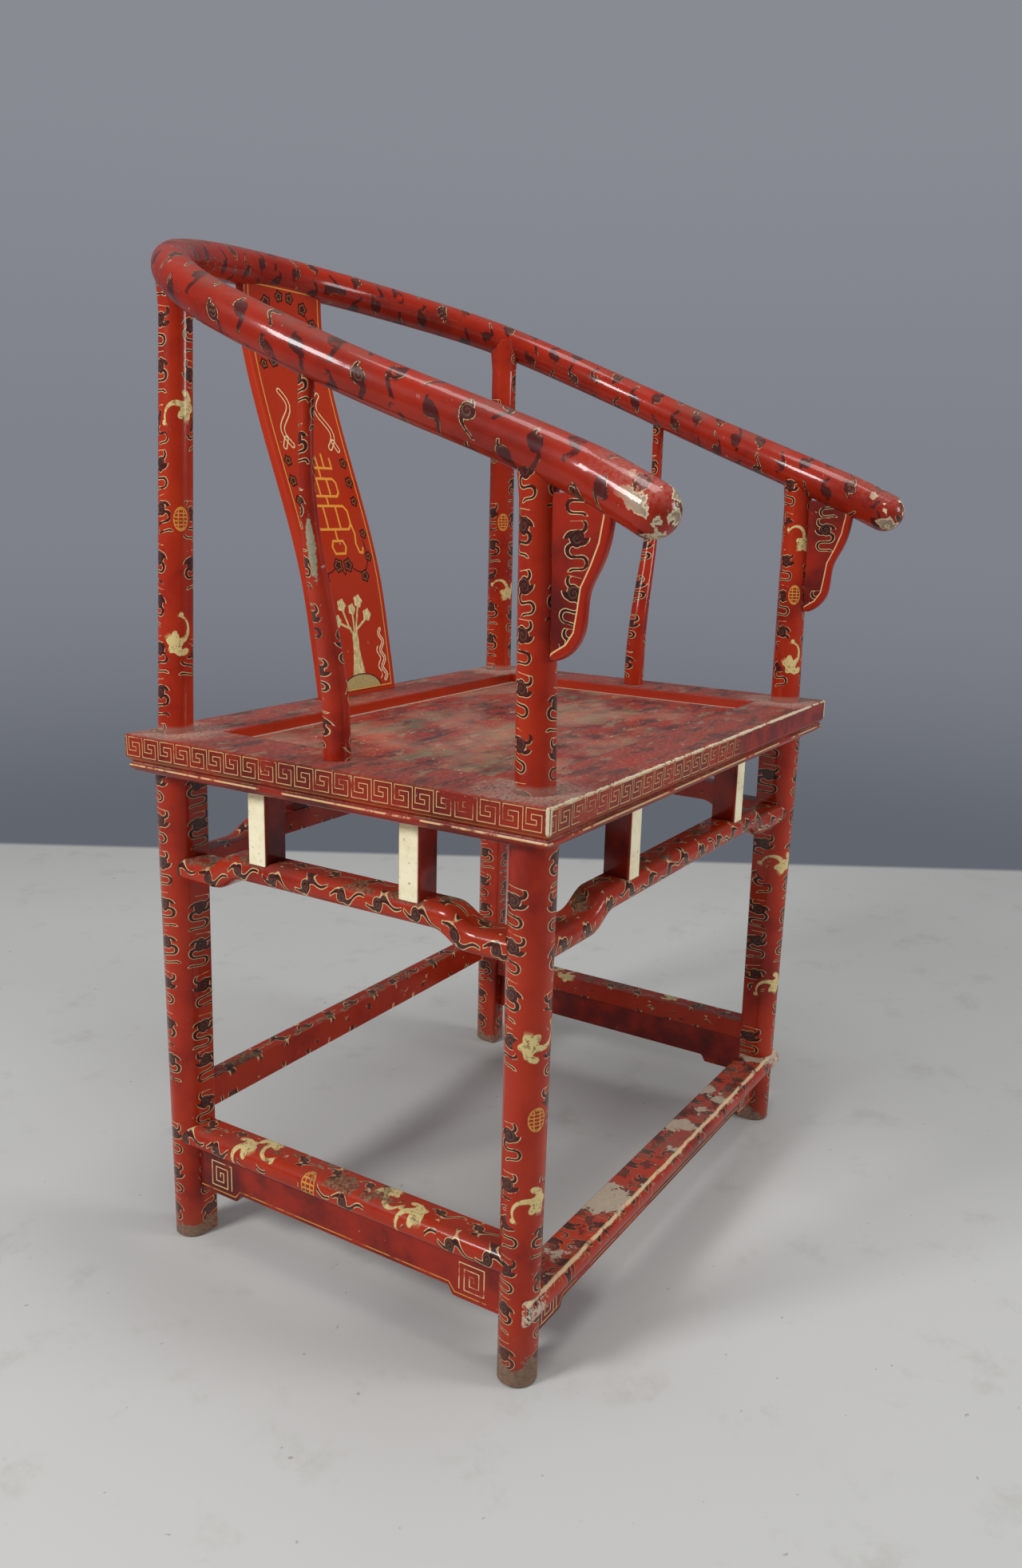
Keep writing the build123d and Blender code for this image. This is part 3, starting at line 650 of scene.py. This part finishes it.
def unroll_bar(work, side, middle_z, hump=None):
    """Length along a bar from its middle, and distance round it from its outer face."""
    if side in ("left", "right"):
        along = work.y - SIDE_MIDDLE
        out = size_of(work.x) - SIDE_OUT
    else:
        along = work.x
        out = FRONT_OUT - work.y if side == "front" else work.y - BACK_OUT
    if hump:
        near, far = hump
        middle_z = middle_z + (1 - rise(near, far, size_of(along))) * HUMP_RISE
    return along, angle(work.z - middle_z, out + 3) * BAR_ROUND


def bar_finish(name, side, middle_z, seed, hump=None, bats=(), medals=(), dusty=0.2):
    """A stretcher: a strip of clouds with their ribbons along the bar."""
    work = Finish(name).lacquer()
    along, around = unroll_bar(work, side, middle_z, hump)
    clear = plan_extras(work, along, around, bats, medals)
    clear.append(rise(30, 33, size_of(around)) * rise(0.4, 0.46, work.patch))
    paint_clouds(work, along, around + 11, long=38, wide=22, seed=seed, clear=clear,
                 head=5, tail=24, wave=27, swing=3.8, drift=2.5, lanes=False)
    lay_extras(work)
    stain = rise(0.54, 0.6, grain(work.place, 0.03, 4, 0.6)) * rise(0.4, 0.8, work.nz)
    work.lay(stain * 0.8, blend(rise(0.4, 0.6, work.speckle), STAIN_TAN, STAIN_DARK), 0.55)
    return work.wear(0.8).dust(dusty).close()


for side, (hump, seed) in HUMPS.items():
    dress(bar_finish(f"lacquer_humpback_{side}", side, HUMP_LOW, seed, hump), f"humpback_{side}")
for side, *facts in (
    ("right", 108.5, 41, None, [(105, 2, 60), (-85, 2, 80), (80, 20, 20), (-60, 20, 0)],
     [(25, 1, 90)]),
    ("left", 108.5, 43, None, [(90, 2, 60), (-70, 2, 80), (60, 20, 20)]),
    ("back", 142, 45, None, [(-120, 0, 10), (60, 2, 190)], (), 0.05),
):
    dress(bar_finish(f"lacquer_stretcher_{side}", side, *facts), f"stretcher_{side}")

# %% [markdown]
# The footrest takes the sitter's shoes. Its top is scuffed through to the clay in patches, and its
# front edge is worn bare along the whole length.

# %% Footrest
SCUFF = rgb(128, 72, 62)
BARE_EDGE = rgb(216, 176, 128)
FOOTREST_ARRIS = -219.5


def footrest_finish():
    """The footrest: clouds on top, under wide scuffs, and a bare front edge."""
    work = Finish("lacquer_footrest").lacquer()
    paint_clouds(work, work.x, work.y - FRONT_OUT, long=31, wide=22, seed=51, outline=0.3,
                 head=5.6, tail=18, wave=15, swing=6.5)
    upward = rise(0.2, 0.8, work.nz)
    scuff = grain(work.place, 0.028, 5, 0.6)
    work.lay(rise(0.44, 0.62, scuff) * upward * 0.55, SCUFF, 0.5)
    spots = rise(0.55, 0.57, grain(work.place, 0.05, 4, 0.6))
    work.lay(spots * upward * 0.8, INK_BROWN, 0.4)
    bare = blend(work.speckle, CLAY, WOOD)
    work.lay(rise(0.545, 0.56, scuff) * upward, bare, 0.75, -0.4)
    arris = size_of(work.y - FOOTREST_ARRIS + work.ragged(4)) - 0.8 - work.speckle
    front = filled(arris, 0.5) * rise(0.1, 0.5, work.nz) * rise(0.32, 0.46, work.patch)
    work.lay(front * 0.9, blend(work.speckle, BARE_EDGE, CREAM), 0.65, -0.3)
    lap = rise(250, 262, size_of(work.x) + work.ragged(16))
    worn_lap = lap * rise(0.47, 0.52, work.speckle * 0.5 + work.patch * 0.5)
    work.lay(worn_lap * 0.9, CLAY, 0.7, -0.3)
    return work.wear(1.2).dust(0.3).close()


dress(footrest_finish(), "footrest")

# %% [markdown]
# Aprons are plain red boards with one thin gilt line along the lower edge, and in each ear a square
# spiral. A stroke is a chain of straight lines, and serves for the splat later too.

# %% Strokes, and the aprons
SPIRAL_HALF = 12.5
SPIRAL_PITCH = 5.2
SPIRAL_RINGS = 3


def stroke(place, points):
    """Distance to a chain of straight lines, for a flat place given as a vector."""
    def from_line(start, end):
        run, lift = end[0] - start[0], end[1] - start[1]
        square = run * run + lift * lift
        off = place - (*start, 0)
        share = calculate("DOT_PRODUCT", off, (run / square, lift / square, 0), output="Value")
        share = make(place.tree, "ShaderNodeClamp", {}, {0: share})
        return calculate("LENGTH", off - scaled((run, lift, 0), share), output="Value")
    return closest(from_line(*ends) for ends in zip(points, points[1:]))


def square_spiral():
    """Corner points of a square spiral that winds inwards from its lower left corner."""
    points = [(-SPIRAL_HALF, -SPIRAL_HALF)]
    for ring in range(SPIRAL_RINGS):
        half = SPIRAL_HALF - ring * SPIRAL_PITCH
        points += [(-half, half), (half, half), (half, -half), (SPIRAL_PITCH - half, -half)]
    return points[:-1]


def apron_finish(side, top, height, half_span):
    """An apron: plain lacquer, a gilt line and a spiral in each ear."""
    # The darker red ground here is painted shade under the seat.
    work = Finish(f"lacquer_apron_{side}").lacquer(**SHADED_RED_GROUND)
    along, _ = unroll_bar(work, side, top)
    size = size_of(along)
    outward = {"right": -work.nx, "left": work.nx, "front": -work.ny}[side]
    shown = rise(0.5, 0.8, outward) * rise(0.36, 0.5, work.patch)
    low, ear_low, ear_from = top - height + 3.5, top - height - 4, half_span - 50
    line = stroke(flat(size, work.z), [
        (0, low), (ear_from, low), (ear_from + 6, ear_low), (half_span, ear_low)])
    work.lay(lined(line, 0.5) * shown, GOLD, 0.4, 0.15)
    ear = flat(size - (half_span - 27), work.z - (top - height * 0.5 - 5))
    work.lay(lined(stroke(ear, square_spiral()), 0.5) * shown, LINE_GOLD, 0.4, 0.15)
    return work.wear(0.8).close()


for side, piece, *facts in (
    ("right", "apron_right", 98, 37, 170), ("left", "apron_left", 98, 37, 170),
    ("front", "footrest_apron", 61, 26, 252),
):
    dress(apron_finish(side, *facts), piece)

# %% [markdown]
# The struts under the seat are gilded on the face that looks outwards and plain red on the others,
# darkened there as painted shade. The gilding is pitted, with the brown ground showing through.

# %% Struts
LEAF_PALE, LEAF_DEEP, LEAF_PIT = rgb(250, 240, 206), rgb(234, 218, 174), rgb(130, 104, 70)


def strut_finish(name, outward):
    """A strut: pale gold on its outer face only."""
    # The darker red ground here is painted shade under the seat.
    work = Finish(name).lacquer(**SHADED_RED_GROUND)
    x, y, _ = parts_of(calculate("MULTIPLY", work.normal, outward))
    face = rise(0.8, 0.95, x + y)
    leaf = blend(rise(0.4, 0.7, work.patch), LEAF_PALE, LEAF_DEEP)
    work.lay(face * (1 - rise(0.35, 0.6, work.edge * work.speckle * 2)), leaf, 0.5, 0.1)
    pits = rise(0.6, 0.7, grain(work.place, 0.22, 5, 0.65))
    work.lay(face * pits * 0.7, LEAF_PIT, 0.6, -0.1)
    work.coat = work.coat * (1 - face * 0.6)
    return work.close()


OUTWARD = {"left": (1, 0, 0), "right": (-1, 0, 0), "front": (0, -1, 0), "back": (0, 1, 0)}
for side, outward in OUTWARD.items():
    dress(strut_finish(f"gilt_strut_{side}", outward), f"strut_{side}_1", f"strut_{side}_2")

# %% [markdown]
# The spandrels under the arms have a gilt line that follows their curved edge, and a column of
# clouds beside the post.

# %% Spandrels
SPANDREL_EDGE = [
    (-221, 599.5), (-232, 606.5), (-239.5, 618), (-242, 634), (-244, 650), (-251, 665),
    (-257, 681), (-260, 699), (-261.5, 716),
]
SPANDREL_RIM = 6.6


def spandrel_finish(name, seed):
    """A spandrel: clouds in a column, and a gilt line just inside the edge."""
    # The darker red ground here is painted shade under the arm.
    work = Finish(name).lacquer(**SHADED_RED_GROUND)
    paint_clouds(work, work.z + 4, work.y + 256, long=37, wide=46, seed=seed,
                 head=6.2, tail=23, wave=17, swing=8, drift=3)
    rim = stroke(flat(work.y, work.z), SPANDREL_EDGE)
    work.lay(1 - rise(SPANDREL_RIM - 0.6, SPANDREL_RIM, rim), RED, 0.3, 0.2)
    tone = blend(work.speckle, GOLD, CREAM)
    work.lay(lined(rim - SPANDREL_RIM, 0.55), tone, 0.45, 0.25)
    return work.wear(0.8).close()


for side, seed in (("right", 61), ("left", 63)):
    dress(spandrel_finish(f"lacquer_spandrel_{side}", seed), f"arm_spandrel_{side}")

# %% [markdown]
# The seat's edge carries a key fret: one line that winds into each square and out again. It is
# drawn on a grid of eight by seven and repeated along the edge. The bead below it is gilt. The top
# of the frame is rubbed and dusty, and its front arris is worn to the clay by two centuries of
# legs. The fret on the front is rubbed away towards one end.

# %% Seat frame
FRET_PITCH = 19.5
FRET_LOW = 481.2
FRET_TALL = 16.6
FRET_GRID = (8, 7)
FRET_PATH = [(8, 7), (1.1, 7), (1.1, 2), (4.7, 2), (4.7, 3.5), (2.9, 3.5), (2.9, 5.2),
             (6.5, 5.2), (6.5, 0), (0, 0), (0, 7)]
FRET_GONE = 60
THIN_LINE_Z = 477.6
BEAD_Z = 472.2
SEAT_MIDDLE_Y = -20
TOP_RED, TOP_BROWN = rgb(146, 46, 38), rgb(112, 52, 48)
TOP_RUBBED, TOP_DARK, TOP_TAN = rgb(138, 92, 76), rgb(64, 44, 46), rgb(142, 124, 98)
# Painted light: a brighter orange red for the seat's lit front face.
LIT_FRONT_RED, LIT_FRONT_DEEP = rgb(160, 44, 20), rgb(120, 30, 18)
CORNER_DUST = rgb(184, 158, 142)


def fret(along, up):
    """Distance, in millimetres, to the line of a key fret."""
    across = along / FRET_PITCH
    unit = (across - floor_of(across)) * FRET_PITCH
    wide, tall = FRET_PITCH / FRET_GRID[0], FRET_TALL / FRET_GRID[1]
    first = stroke(flat(unit, up), [(x * wide, y * tall) for x, y in FRET_PATH])
    wrap = stroke(flat(unit, up), [(FRET_PITCH, 0), (FRET_PITCH, FRET_TALL)])
    return least(first, wrap)


def old_top(work):
    """The rubbed, streaky and dusty paint on what faces up."""
    streak = grain(work.place, 0.02, 5, 0.65, stretch=(1, 3.2, 1))
    fine = grain(work.place, 0.16, 4, 0.6, stretch=(1, 2.2, 1))
    tan = grain(work.place, 0.028, 5, 0.65, stretch=(1, 2.6, 1))
    colour = blend(rise(0.36, 0.62, streak), TOP_RED, TOP_BROWN)
    colour = blend(rise(0.5, 0.6, fine) * 0.65, colour, TOP_RUBBED)
    colour = blend(rise(0.54, 0.6, streak) * 0.7, colour, TOP_DARK)
    return blend(rise(0.57, 0.62, tan) * 0.6, colour, TOP_TAN)


def seat_frame_finish(name, front=False):
    """The seat's frame: key fret, gilt bead and a dusty top."""
    # The darker red ground here is painted shade on the frame's sides.
    work = Finish(name).lacquer(**SHADED_RED_GROUND)
    x, y, z = work.x, work.y, work.z
    patch, speckle = work.patch, work.speckle
    on_end = rise(0.6, 0.8, size_of(work.ny))
    along = -y + (x + y) * on_end
    outside = most(size_of(x) - 300, size_of(y - SEAT_MIDDLE_Y) - 212)
    upright = 1 - size_of(work.nz)
    band = rise(480, 480.4, z) * rise(0.6, 0.8, upright) * rise(0, 1, outside)
    kept = rise(0.34, 0.5, patch)
    if front:
        kept = kept * (1 - rise(FRET_GONE - 30, FRET_GONE + 10, x) * on_end)
        # Painted light: the front face gets a brighter orange red than the shaded sides.
        work.lay(on_end * 0.9, blend(rise(0.4, 0.6, patch), LIT_FRONT_RED, LIT_FRONT_DEEP), 0.35)
    line = fret(along, z - FRET_LOW)
    work.lay(lined(line, 1.5, 0.5) * band * 0.25, MAROON, 0.4)
    tone = blend(speckle, LINE_GOLD, GOLD)
    work.lay(lined(line, 0.36, 0.22) * band * kept * 0.9, tone, 0.45, 0.2)
    side_face = rise(0.25, 0.5, upright)
    work.lay(lined(z - THIN_LINE_Z, 0.6) * side_face * kept, GOLD, 0.4, 0.1)
    bead = lined(z - BEAD_Z, 0.7, 0.4) * side_face * rise(0.4, 0.5, patch)
    work.lay(bead, blend(speckle, CREAM, GOLD), 0.35, 0.1)

    upward = rise(0.6, 0.9, work.nz)
    work.lay(upward * 0.92, old_top(work), 0.5)
    post = closest(reach(size_of(x) - SIDE_OUT, y - at) for at in (FRONT_OUT, BACK_OUT))
    corner = 1 - rise(20, 62, post + work.ragged(50))
    dusty = upward * (0.1 + corner * 0.6) * rise(0.3, 0.6, speckle)
    work.lay(dusty, CORNER_DUST, 0.75)
    torn = 0.8 + work.ragged(9, 7)
    arris = (1 - rise(-236.6, -235.8, y - torn)) * rise(498.4, 499.2, z + torn * 0.5)
    chip = reach(size_of(x) - 305, y + 237) - 2.5 - work.ragged(8)
    bare = most(arris, filled(chip, 0.5) * rise(478, 479, z))
    work.lay(bare, blend(speckle, CREAM, CLAY), 0.7, -0.3)
    recess = (1 - rise(-20, -19, outside)) * side_face
    work.lay(recess * 0.8, RED_BRIGHT, 0.35)
    work.wear()
    work.coat = work.coat * (1 - upward * 0.75)
    return work.close(coat_rough=0.18)


dress(seat_frame_finish("lacquer_seat_frame", front=True), "seat_front")
dress(seat_frame_finish("lacquer_seat_sides"), "seat_back", "seat_side_left", "seat_side_right")

# %% [markdown]
# The panel in the middle was once painted with clouds as well. They are now only green and dark
# stains under streaks of wear, with a pale line of dust where the panel meets the frame.

# %% Seat panel and battens
PANEL_HALF_X = 245
PANEL_HALF_Y = 157
FADED_INK = rgb(70, 52, 54)
GREEN = rgb(112, 108, 84)
LEFT_RED = rgb(172, 58, 44)
RIM_DUST = rgb(198, 176, 156)
PANEL_DUST = rgb(182, 140, 116)
PLANED, PLANED_DARK = rgb(120, 88, 62), rgb(84, 60, 44)


def panel_finish():
    """The seat panel: faded cloud paint, streaks, stains and dust at its edges."""
    work = Finish("lacquer_seat_panel")
    work.colour = old_top(work)
    a, b, luck = cells(work.x, work.y, 60, 44, 71)
    edge, _ = cloud(a, b, luck, head=9, tail=36, wave=26, swing=12, lanes=False)
    work.lay(filled(edge + work.ragged(16, 4), 2.5) * 0.55, FADED_INK, 0.5)
    green = grain(work.place, 0.011, 4, 0.6, stretch=(1, 2, 1))
    work.lay(rise(0.52, 0.64, green) * 0.6, GREEN, 0.6)
    bright = grain(work.place, 0.017, 4, 0.55)
    work.lay(rise(0.56, 0.7, bright) * 0.55, LEFT_RED, 0.4)
    nicks = rise(0.7, 0.72, grain(work.place, 0.13, 3, 0.5, stretch=(1, 3, 1)))
    work.lay(nicks * 0.8, CREAM, 0.7)
    rim = least(PANEL_HALF_X - size_of(work.x), PANEL_HALF_Y - size_of(work.y - SEAT_MIDDLE_Y))
    line = 1 - rise(1.5, 6.5, rim + work.ragged(0, 8))
    work.lay(line * 0.85, RIM_DUST, 0.8, 0.2)
    work.lay(rise(0.42, 0.66, work.wash) * 0.4, PANEL_DUST, 0.7)
    work.coat = work.coat * 0.35
    return work.close(coat_rough=0.2)


def batten_finish():
    """Plain planed wood, for what is under the seat."""
    work = Finish("planed_wood")
    rings = grain(work.place, 0.08, 4, 0.6, stretch=(1, 0.12, 1))
    work.colour = blend(rise(0.35, 0.7, rings), PLANED, PLANED_DARK)
    work.rough = 0.7 + work.speckle * 0.15
    work.coat = work.coat * 0.05
    return work.close()


dress(panel_finish(), "seat_panel")
dress(batten_finish(), "batten_left", "batten_right")

# %% [markdown]
# The splat is the chair's picture: a gilt border, dark blossoms at the top, a pair of gilt ribbons,
# a gilt knot, more blossoms on a dark twig, and a pale tree on a mound between curls. All of it is
# drawn on a flat place of distance from the middle and height, with strokes and circles. What is
# the same on both sides is drawn once, on the distance without its sign.

# %% Splat
DARK_BLOSSOMS = [
    (8, 908, 6), (28, 900, 7), (43, 886, 6), (17, 880, 7), (37, 866, 6.4), (13, 856, 6),
    (28, 842, 6.4), (43, 838, 5.4), (44, 742, 5.6), (45, 722, 6), (44, 702, 5.4), (45, 668, 5.2),
    (8, 636, 7.4), (33, 624, 6.6), (45, 644, 5.4),
]
DARK_TWIGS = [
    [(0, 626), (8, 636), (20, 630), (34, 626), (44, 642), (42, 662)],
    [(17, 880), (30, 872), (40, 884), (27, 899)],
]
KNOT = [
    [(10, 750), (10, 736), (0, 736)],
    [(22, 746), (22, 736), (10, 736)],
    [(0, 725), (18, 725), (22, 721), (22, 711), (18, 707), (0, 707)],
    [(0, 746), (0, 725)],
    [(8, 725), (8, 707)],
    [(0, 697), (23, 697), (28, 692), (28, 678), (23, 673), (0, 673)],
    [(10, 697), (10, 673)],
    [(0, 707), (0, 697)],
    [(0, 673), (0, 661)],
    [(0, 661), (8, 661), (11, 655), (8, 648), (0, 648)],
    [(28, 680), (31, 668), (29, 658), (32, 649), (37, 648), (39, 653)],
]
TREE_LIMBS = [
    [(1, 560), (6, 576), (12, 594)], [(4, 568), (14, 574), (24, 580)],
    [(0, 560), (-8, 574), (-14, 590)], [(-5, 570), (-22, 577)], [(1, 560), (1, 586)],
]
TREE_FLOWERS = [(13, 598, 6.4), (25, 583, 6.2), (-15, 595, 6.4), (-25, 579, 6.2), (1, 590, 5.6)]
TREE_FOOT, TREE_FORK = 512, 567
BORDER_MIDDLE, BORDER_HALF_TALL, BORDER_HALF_WIDE = 711, 205, 53
BLOSSOM_BROWN = rgb(58, 16, 18)
KNOT_GOLD = rgb(224, 150, 58)
BARK = rgb(176, 156, 100)
SOIL_DARK, SOIL_PALE = rgb(128, 116, 74), rgb(206, 182, 122)


def blossom(place, x, z, size):
    """Distance to a five-petalled blossom."""
    across, up, _ = parts_of(place - (x, z, 0))
    return reach(across, up) - (size + cosine(angle(up, across) * 5) * (size * 0.12))


def wavy(x, low, high, swing, turns, steps):
    """Points of a line that rises from low to high and swings about x."""
    count = turns * steps
    return [(x + swing * math.sin(math.tau * turns * step / count),
             low + (high - low) * step / count) for step in range(count + 1)]


def strokes(place, chains):
    """Distance to the nearest of several strokes."""
    return closest(stroke(place, chain) for chain in chains)


def blossoms(place, flowers):
    """Distance to the nearest of several blossoms."""
    return closest(blossom(place, *flower) for flower in flowers)


def splat_finish():
    """The painted back splat."""
    work = Finish("lacquer_splat").lacquer(mid=RED_BRIGHT, deep=RED)
    front = 1 - rise(-0.3, 0.1, work.ny)
    worn = front * rise(0.26, 0.38, work.patch)
    place = flat(work.x, work.z)
    mirrored = flat(size_of(work.x), work.z)

    dark = blossoms(mirrored, DARK_BLOSSOMS)
    twig = strokes(mirrored, DARK_TWIGS) - 0.8
    ink = blend(rise(0.3, 0.7, work.speckle), BLOSSOM_BROWN, INK)
    work.lay(filled(least(dark, twig), 0.3) * front * 0.92, ink, 0.35, 0.08)
    work.lay(filled(size_of(dark + 2.8) - 0.4, 0.2) * front * 0.5, GOLD, 0.45)

    scroll = stroke(mirrored, wavy(30, 758, 812, 9, 1, 12))
    leaf = stroke(mirrored, [(37, 764), (42, 756)]) - 2.4
    ribbon = least(size_of(scroll - 2.6), size_of(leaf))
    work.lay(lined(ribbon, 0.6) * worn, PALE_GOLD, 0.42, 0.15)
    work.lay(lined(strokes(mirrored, KNOT), 1.25) * worn, KNOT_GOLD, 0.4, 0.2)

    lean = work.x - rise(520, 566, work.z)
    thick = 11.5 - rise(508, 552, work.z) * 6.6 + work.ragged(0, 2.4)
    trunk = most(most(size_of(lean) - thick, work.z - TREE_FORK), TREE_FOOT - work.z)
    limbs = strokes(place, TREE_LIMBS) - 1.3
    tree = least(least(trunk, limbs), blossoms(place, TREE_FLOWERS))
    streaks = rise(0.4, 0.62, grain(work.place, 0.3, 3, 0.6, stretch=(3, 1, 0.5)))
    work.lay(filled(tree, 0.3) * front, blend(streaks, PALE_GOLD, BARK), 0.42, 0.12)
    across, above, _ = parts_of(place - (2, 505, 0))
    mound = most(reach(across * 0.5, above) - 16.5, -above)
    soil = blend(work.speckle, SOIL_DARK, SOIL_PALE)
    work.lay(filled(mound, 0.4) * front, soil, 0.5, 0.1)
    work.lay(lined(mound, 0.6) * front, INK_BROWN, 0.5, 0.1)
    curls = least(size_of(stroke(mirrored, wavy(44, 512, 566, 3, 3, 6)) - 1.4),
                  stroke(mirrored, wavy(37, 514, 548, 2.6, 2, 6)))
    work.lay(lined(curls, 0.7) * worn, CREAM, 0.42, 0.12)

    border = most(size_of(work.x) - BORDER_HALF_WIDE,
                  size_of(work.z - BORDER_MIDDLE) - BORDER_HALF_TALL)
    work.lay(lined(border, 0.7) * worn, GOLD, 0.4, 0.15)
    return work.wear(0.8).close()


dress(splat_finish(), "splat")

# %% [markdown]
# The studio is plain: a pale floor that meets a cool grey wall in a straight line behind the chair.
# No real wall has to stand in the way when the chair is seen from another side: past the line, and
# far out on the other sides, the floor itself glows with the wall's low colour, so the two meet
# unseen. The wall is the world's colour as the camera and the gloss see it, and the light that it
# sheds is set apart from that. The gloss sees it dimmer, because most of the room lies in shade.

# %% Floor and backdrop
FLOOR = rgb(194, 194, 191)
FLOOR_DULL = rgb(182, 181, 177)
FLOOR_SMUDGE = rgb(160, 157, 150)
FLOOR_SPECK = rgb(120, 114, 106)
WALL_LOW = rgb(97, 101, 110)
WALL_MIDDLE = rgb(127, 130, 138)
WALL_HIGH = rgb(137, 139, 147)
DIM_ROOM = rgb(24, 24, 26)
SKY_LIGHT = (0.92, 0.95, 1, 1)
VIEW_X = 0.852
VIEW_Y = 0.524
FLOOR_REACH = 1.15

bpy.ops.mesh.primitive_circle_add(vertices=128, radius=30, fill_type="NGON")
floor = bpy.context.object
floor.name = "studio_floor"
floor_material = bpy.data.materials.new("floor_paper")
tree = fresh_tree(floor_material)
spot = make(tree, "ShaderNodeTexCoord", output="Object")
floor_x, floor_y, _ = parts_of(spot)
ahead = floor_x * VIEW_X + floor_y * VIEW_Y
away = reach(floor_x, floor_y)
edge_of_floor = most(rise(FLOOR_REACH, FLOOR_REACH + 0.03, ahead), rise(2.5, 9, away))
mottle = grain(spot, 3, 4, 0.5)
paper = blend(mottle * 0.3, FLOOR, FLOOR_DULL)
paper = blend(rise(0.54, 0.72, grain(spot, 11, 6, 0.7)) * 0.35, paper, FLOOR_SMUDGE)
paper = blend(rise(0.74, 0.76, grain(spot, 90, 2, 0.5)) * 0.5, paper, FLOOR_SPECK)
pool = make(tree, "ShaderNodeBsdfPrincipled", {}, {
    "Base Color": paper, "Roughness": 0.6 + mottle * 0.15, "Specular IOR Level": 0.3})
haze = blend(rise(0, 0.62, 1 / away), WALL_MIDDLE, WALL_LOW)
glow = make(tree, "ShaderNodeEmission", {}, {"Color": haze})
surface = make(tree, "ShaderNodeMixShader", {}, {0: edge_of_floor, 1: pool, 2: glow})
make(tree, "ShaderNodeOutputMaterial", {}, {"Surface": surface})
floor.data.materials.append(floor_material)

world = bpy.data.worlds.new("studio")
bpy.context.scene.world = world
tree = fresh_tree(world)
_, _, height = parts_of(make(tree, "ShaderNodeTexCoord", output="Generated"))
rays = make(tree, "ShaderNodeLightPath").socket.node.outputs
camera_ray, glossy_ray, clear_ray = (
    Shade(rays[f"Is {kind} Ray"]) for kind in ("Camera", "Glossy", "Transmission"))
wall = blend(rise(0, 0.3, height), WALL_MIDDLE, WALL_HIGH)
wall = blend(glossy_ray * 0.5, wall, DIM_ROOM)
light = make(tree, "ShaderNodeBackground", {}, {"Color": SKY_LIGHT, "Strength": 0.27})
backdrop = make(tree, "ShaderNodeBackground", {}, {"Color": wall})
shown = most(most(camera_ray, glossy_ray), clear_ray)
mixed = make(tree, "ShaderNodeMixShader", {}, {0: shown, 1: light, 2: backdrop})
make(tree, "ShaderNodeOutputWorld", {}, {"Surface": mixed})
print("studio ready")

# %% [markdown]
# Three broad soft lamps: a window-like key from the viewer's left, a gentle top light, and a weak
# fill from the right. Broad lamps draw long soft highlights down the round posts.

# %% Lamps
CHAIR_MIDDLE = Vector((0, 0, 0.5))


def lamp(name, place, size, watts):
    """A square area lamp that looks at the middle of the chair."""
    data = bpy.data.lights.new(name, "AREA")
    data.energy = watts
    data.size = size
    lamp_object = bpy.data.objects.new(name, data)
    bpy.context.collection.objects.link(lamp_object)
    lamp_object.location = place
    aim = CHAIR_MIDDLE - Vector(place)
    lamp_object.rotation_euler = aim.to_track_quat("-Z", "Y").to_euler()


lamp("key_window", (-2.3, 0.9, 1.9), 0.65, 50)
lamp("top_soft", (-0.2, -0.4, 2.9), 1.1, 31)
lamp("fill_front", (0.9, -2.6, 1.3), 0.8, 26)

# %% [markdown]
# The camera stands near the sitter's right front, a little above the seat, looking down at the
# chair and rolled by a degree and a half, with a moderate wide lens.

# %% Camera
CAMERA_AT = (-1.029, -0.649, 0.713)
AZIMUTH = math.radians(-58.42)
DOWN = math.radians(13.25)
ROLL = math.radians(1.53)
FOCAL_PIXELS = 1534.7
FRAME_TALL = 1964
SENSOR = 36

level = Vector((math.cos(AZIMUTH), math.sin(AZIMUTH), 0))
onward = Vector((-math.sin(AZIMUTH), math.cos(AZIMUTH), 0))
forward = onward * math.cos(DOWN) - Vector((0, 0, math.sin(DOWN)))
upward = level.cross(forward)
right = level * math.cos(ROLL) + upward * math.sin(ROLL)
up = upward * math.cos(ROLL) - level * math.sin(ROLL)
camera_data = bpy.data.cameras.new("camera")
camera_data.sensor_width = SENSOR
camera_data.lens = SENSOR * FOCAL_PIXELS / FRAME_TALL
camera_data.clip_start = 0.01
camera = bpy.data.objects.new("camera", camera_data)
bpy.context.collection.objects.link(camera)
turned = Matrix((right, up, -forward)).transposed().to_4x4()
camera.matrix_world = Matrix.Translation(CAMERA_AT) @ turned
bpy.context.scene.camera = camera
bpy.context.scene.view_settings.view_transform = "Standard"
print("lens:", round(camera_data.lens, 2), "mm")
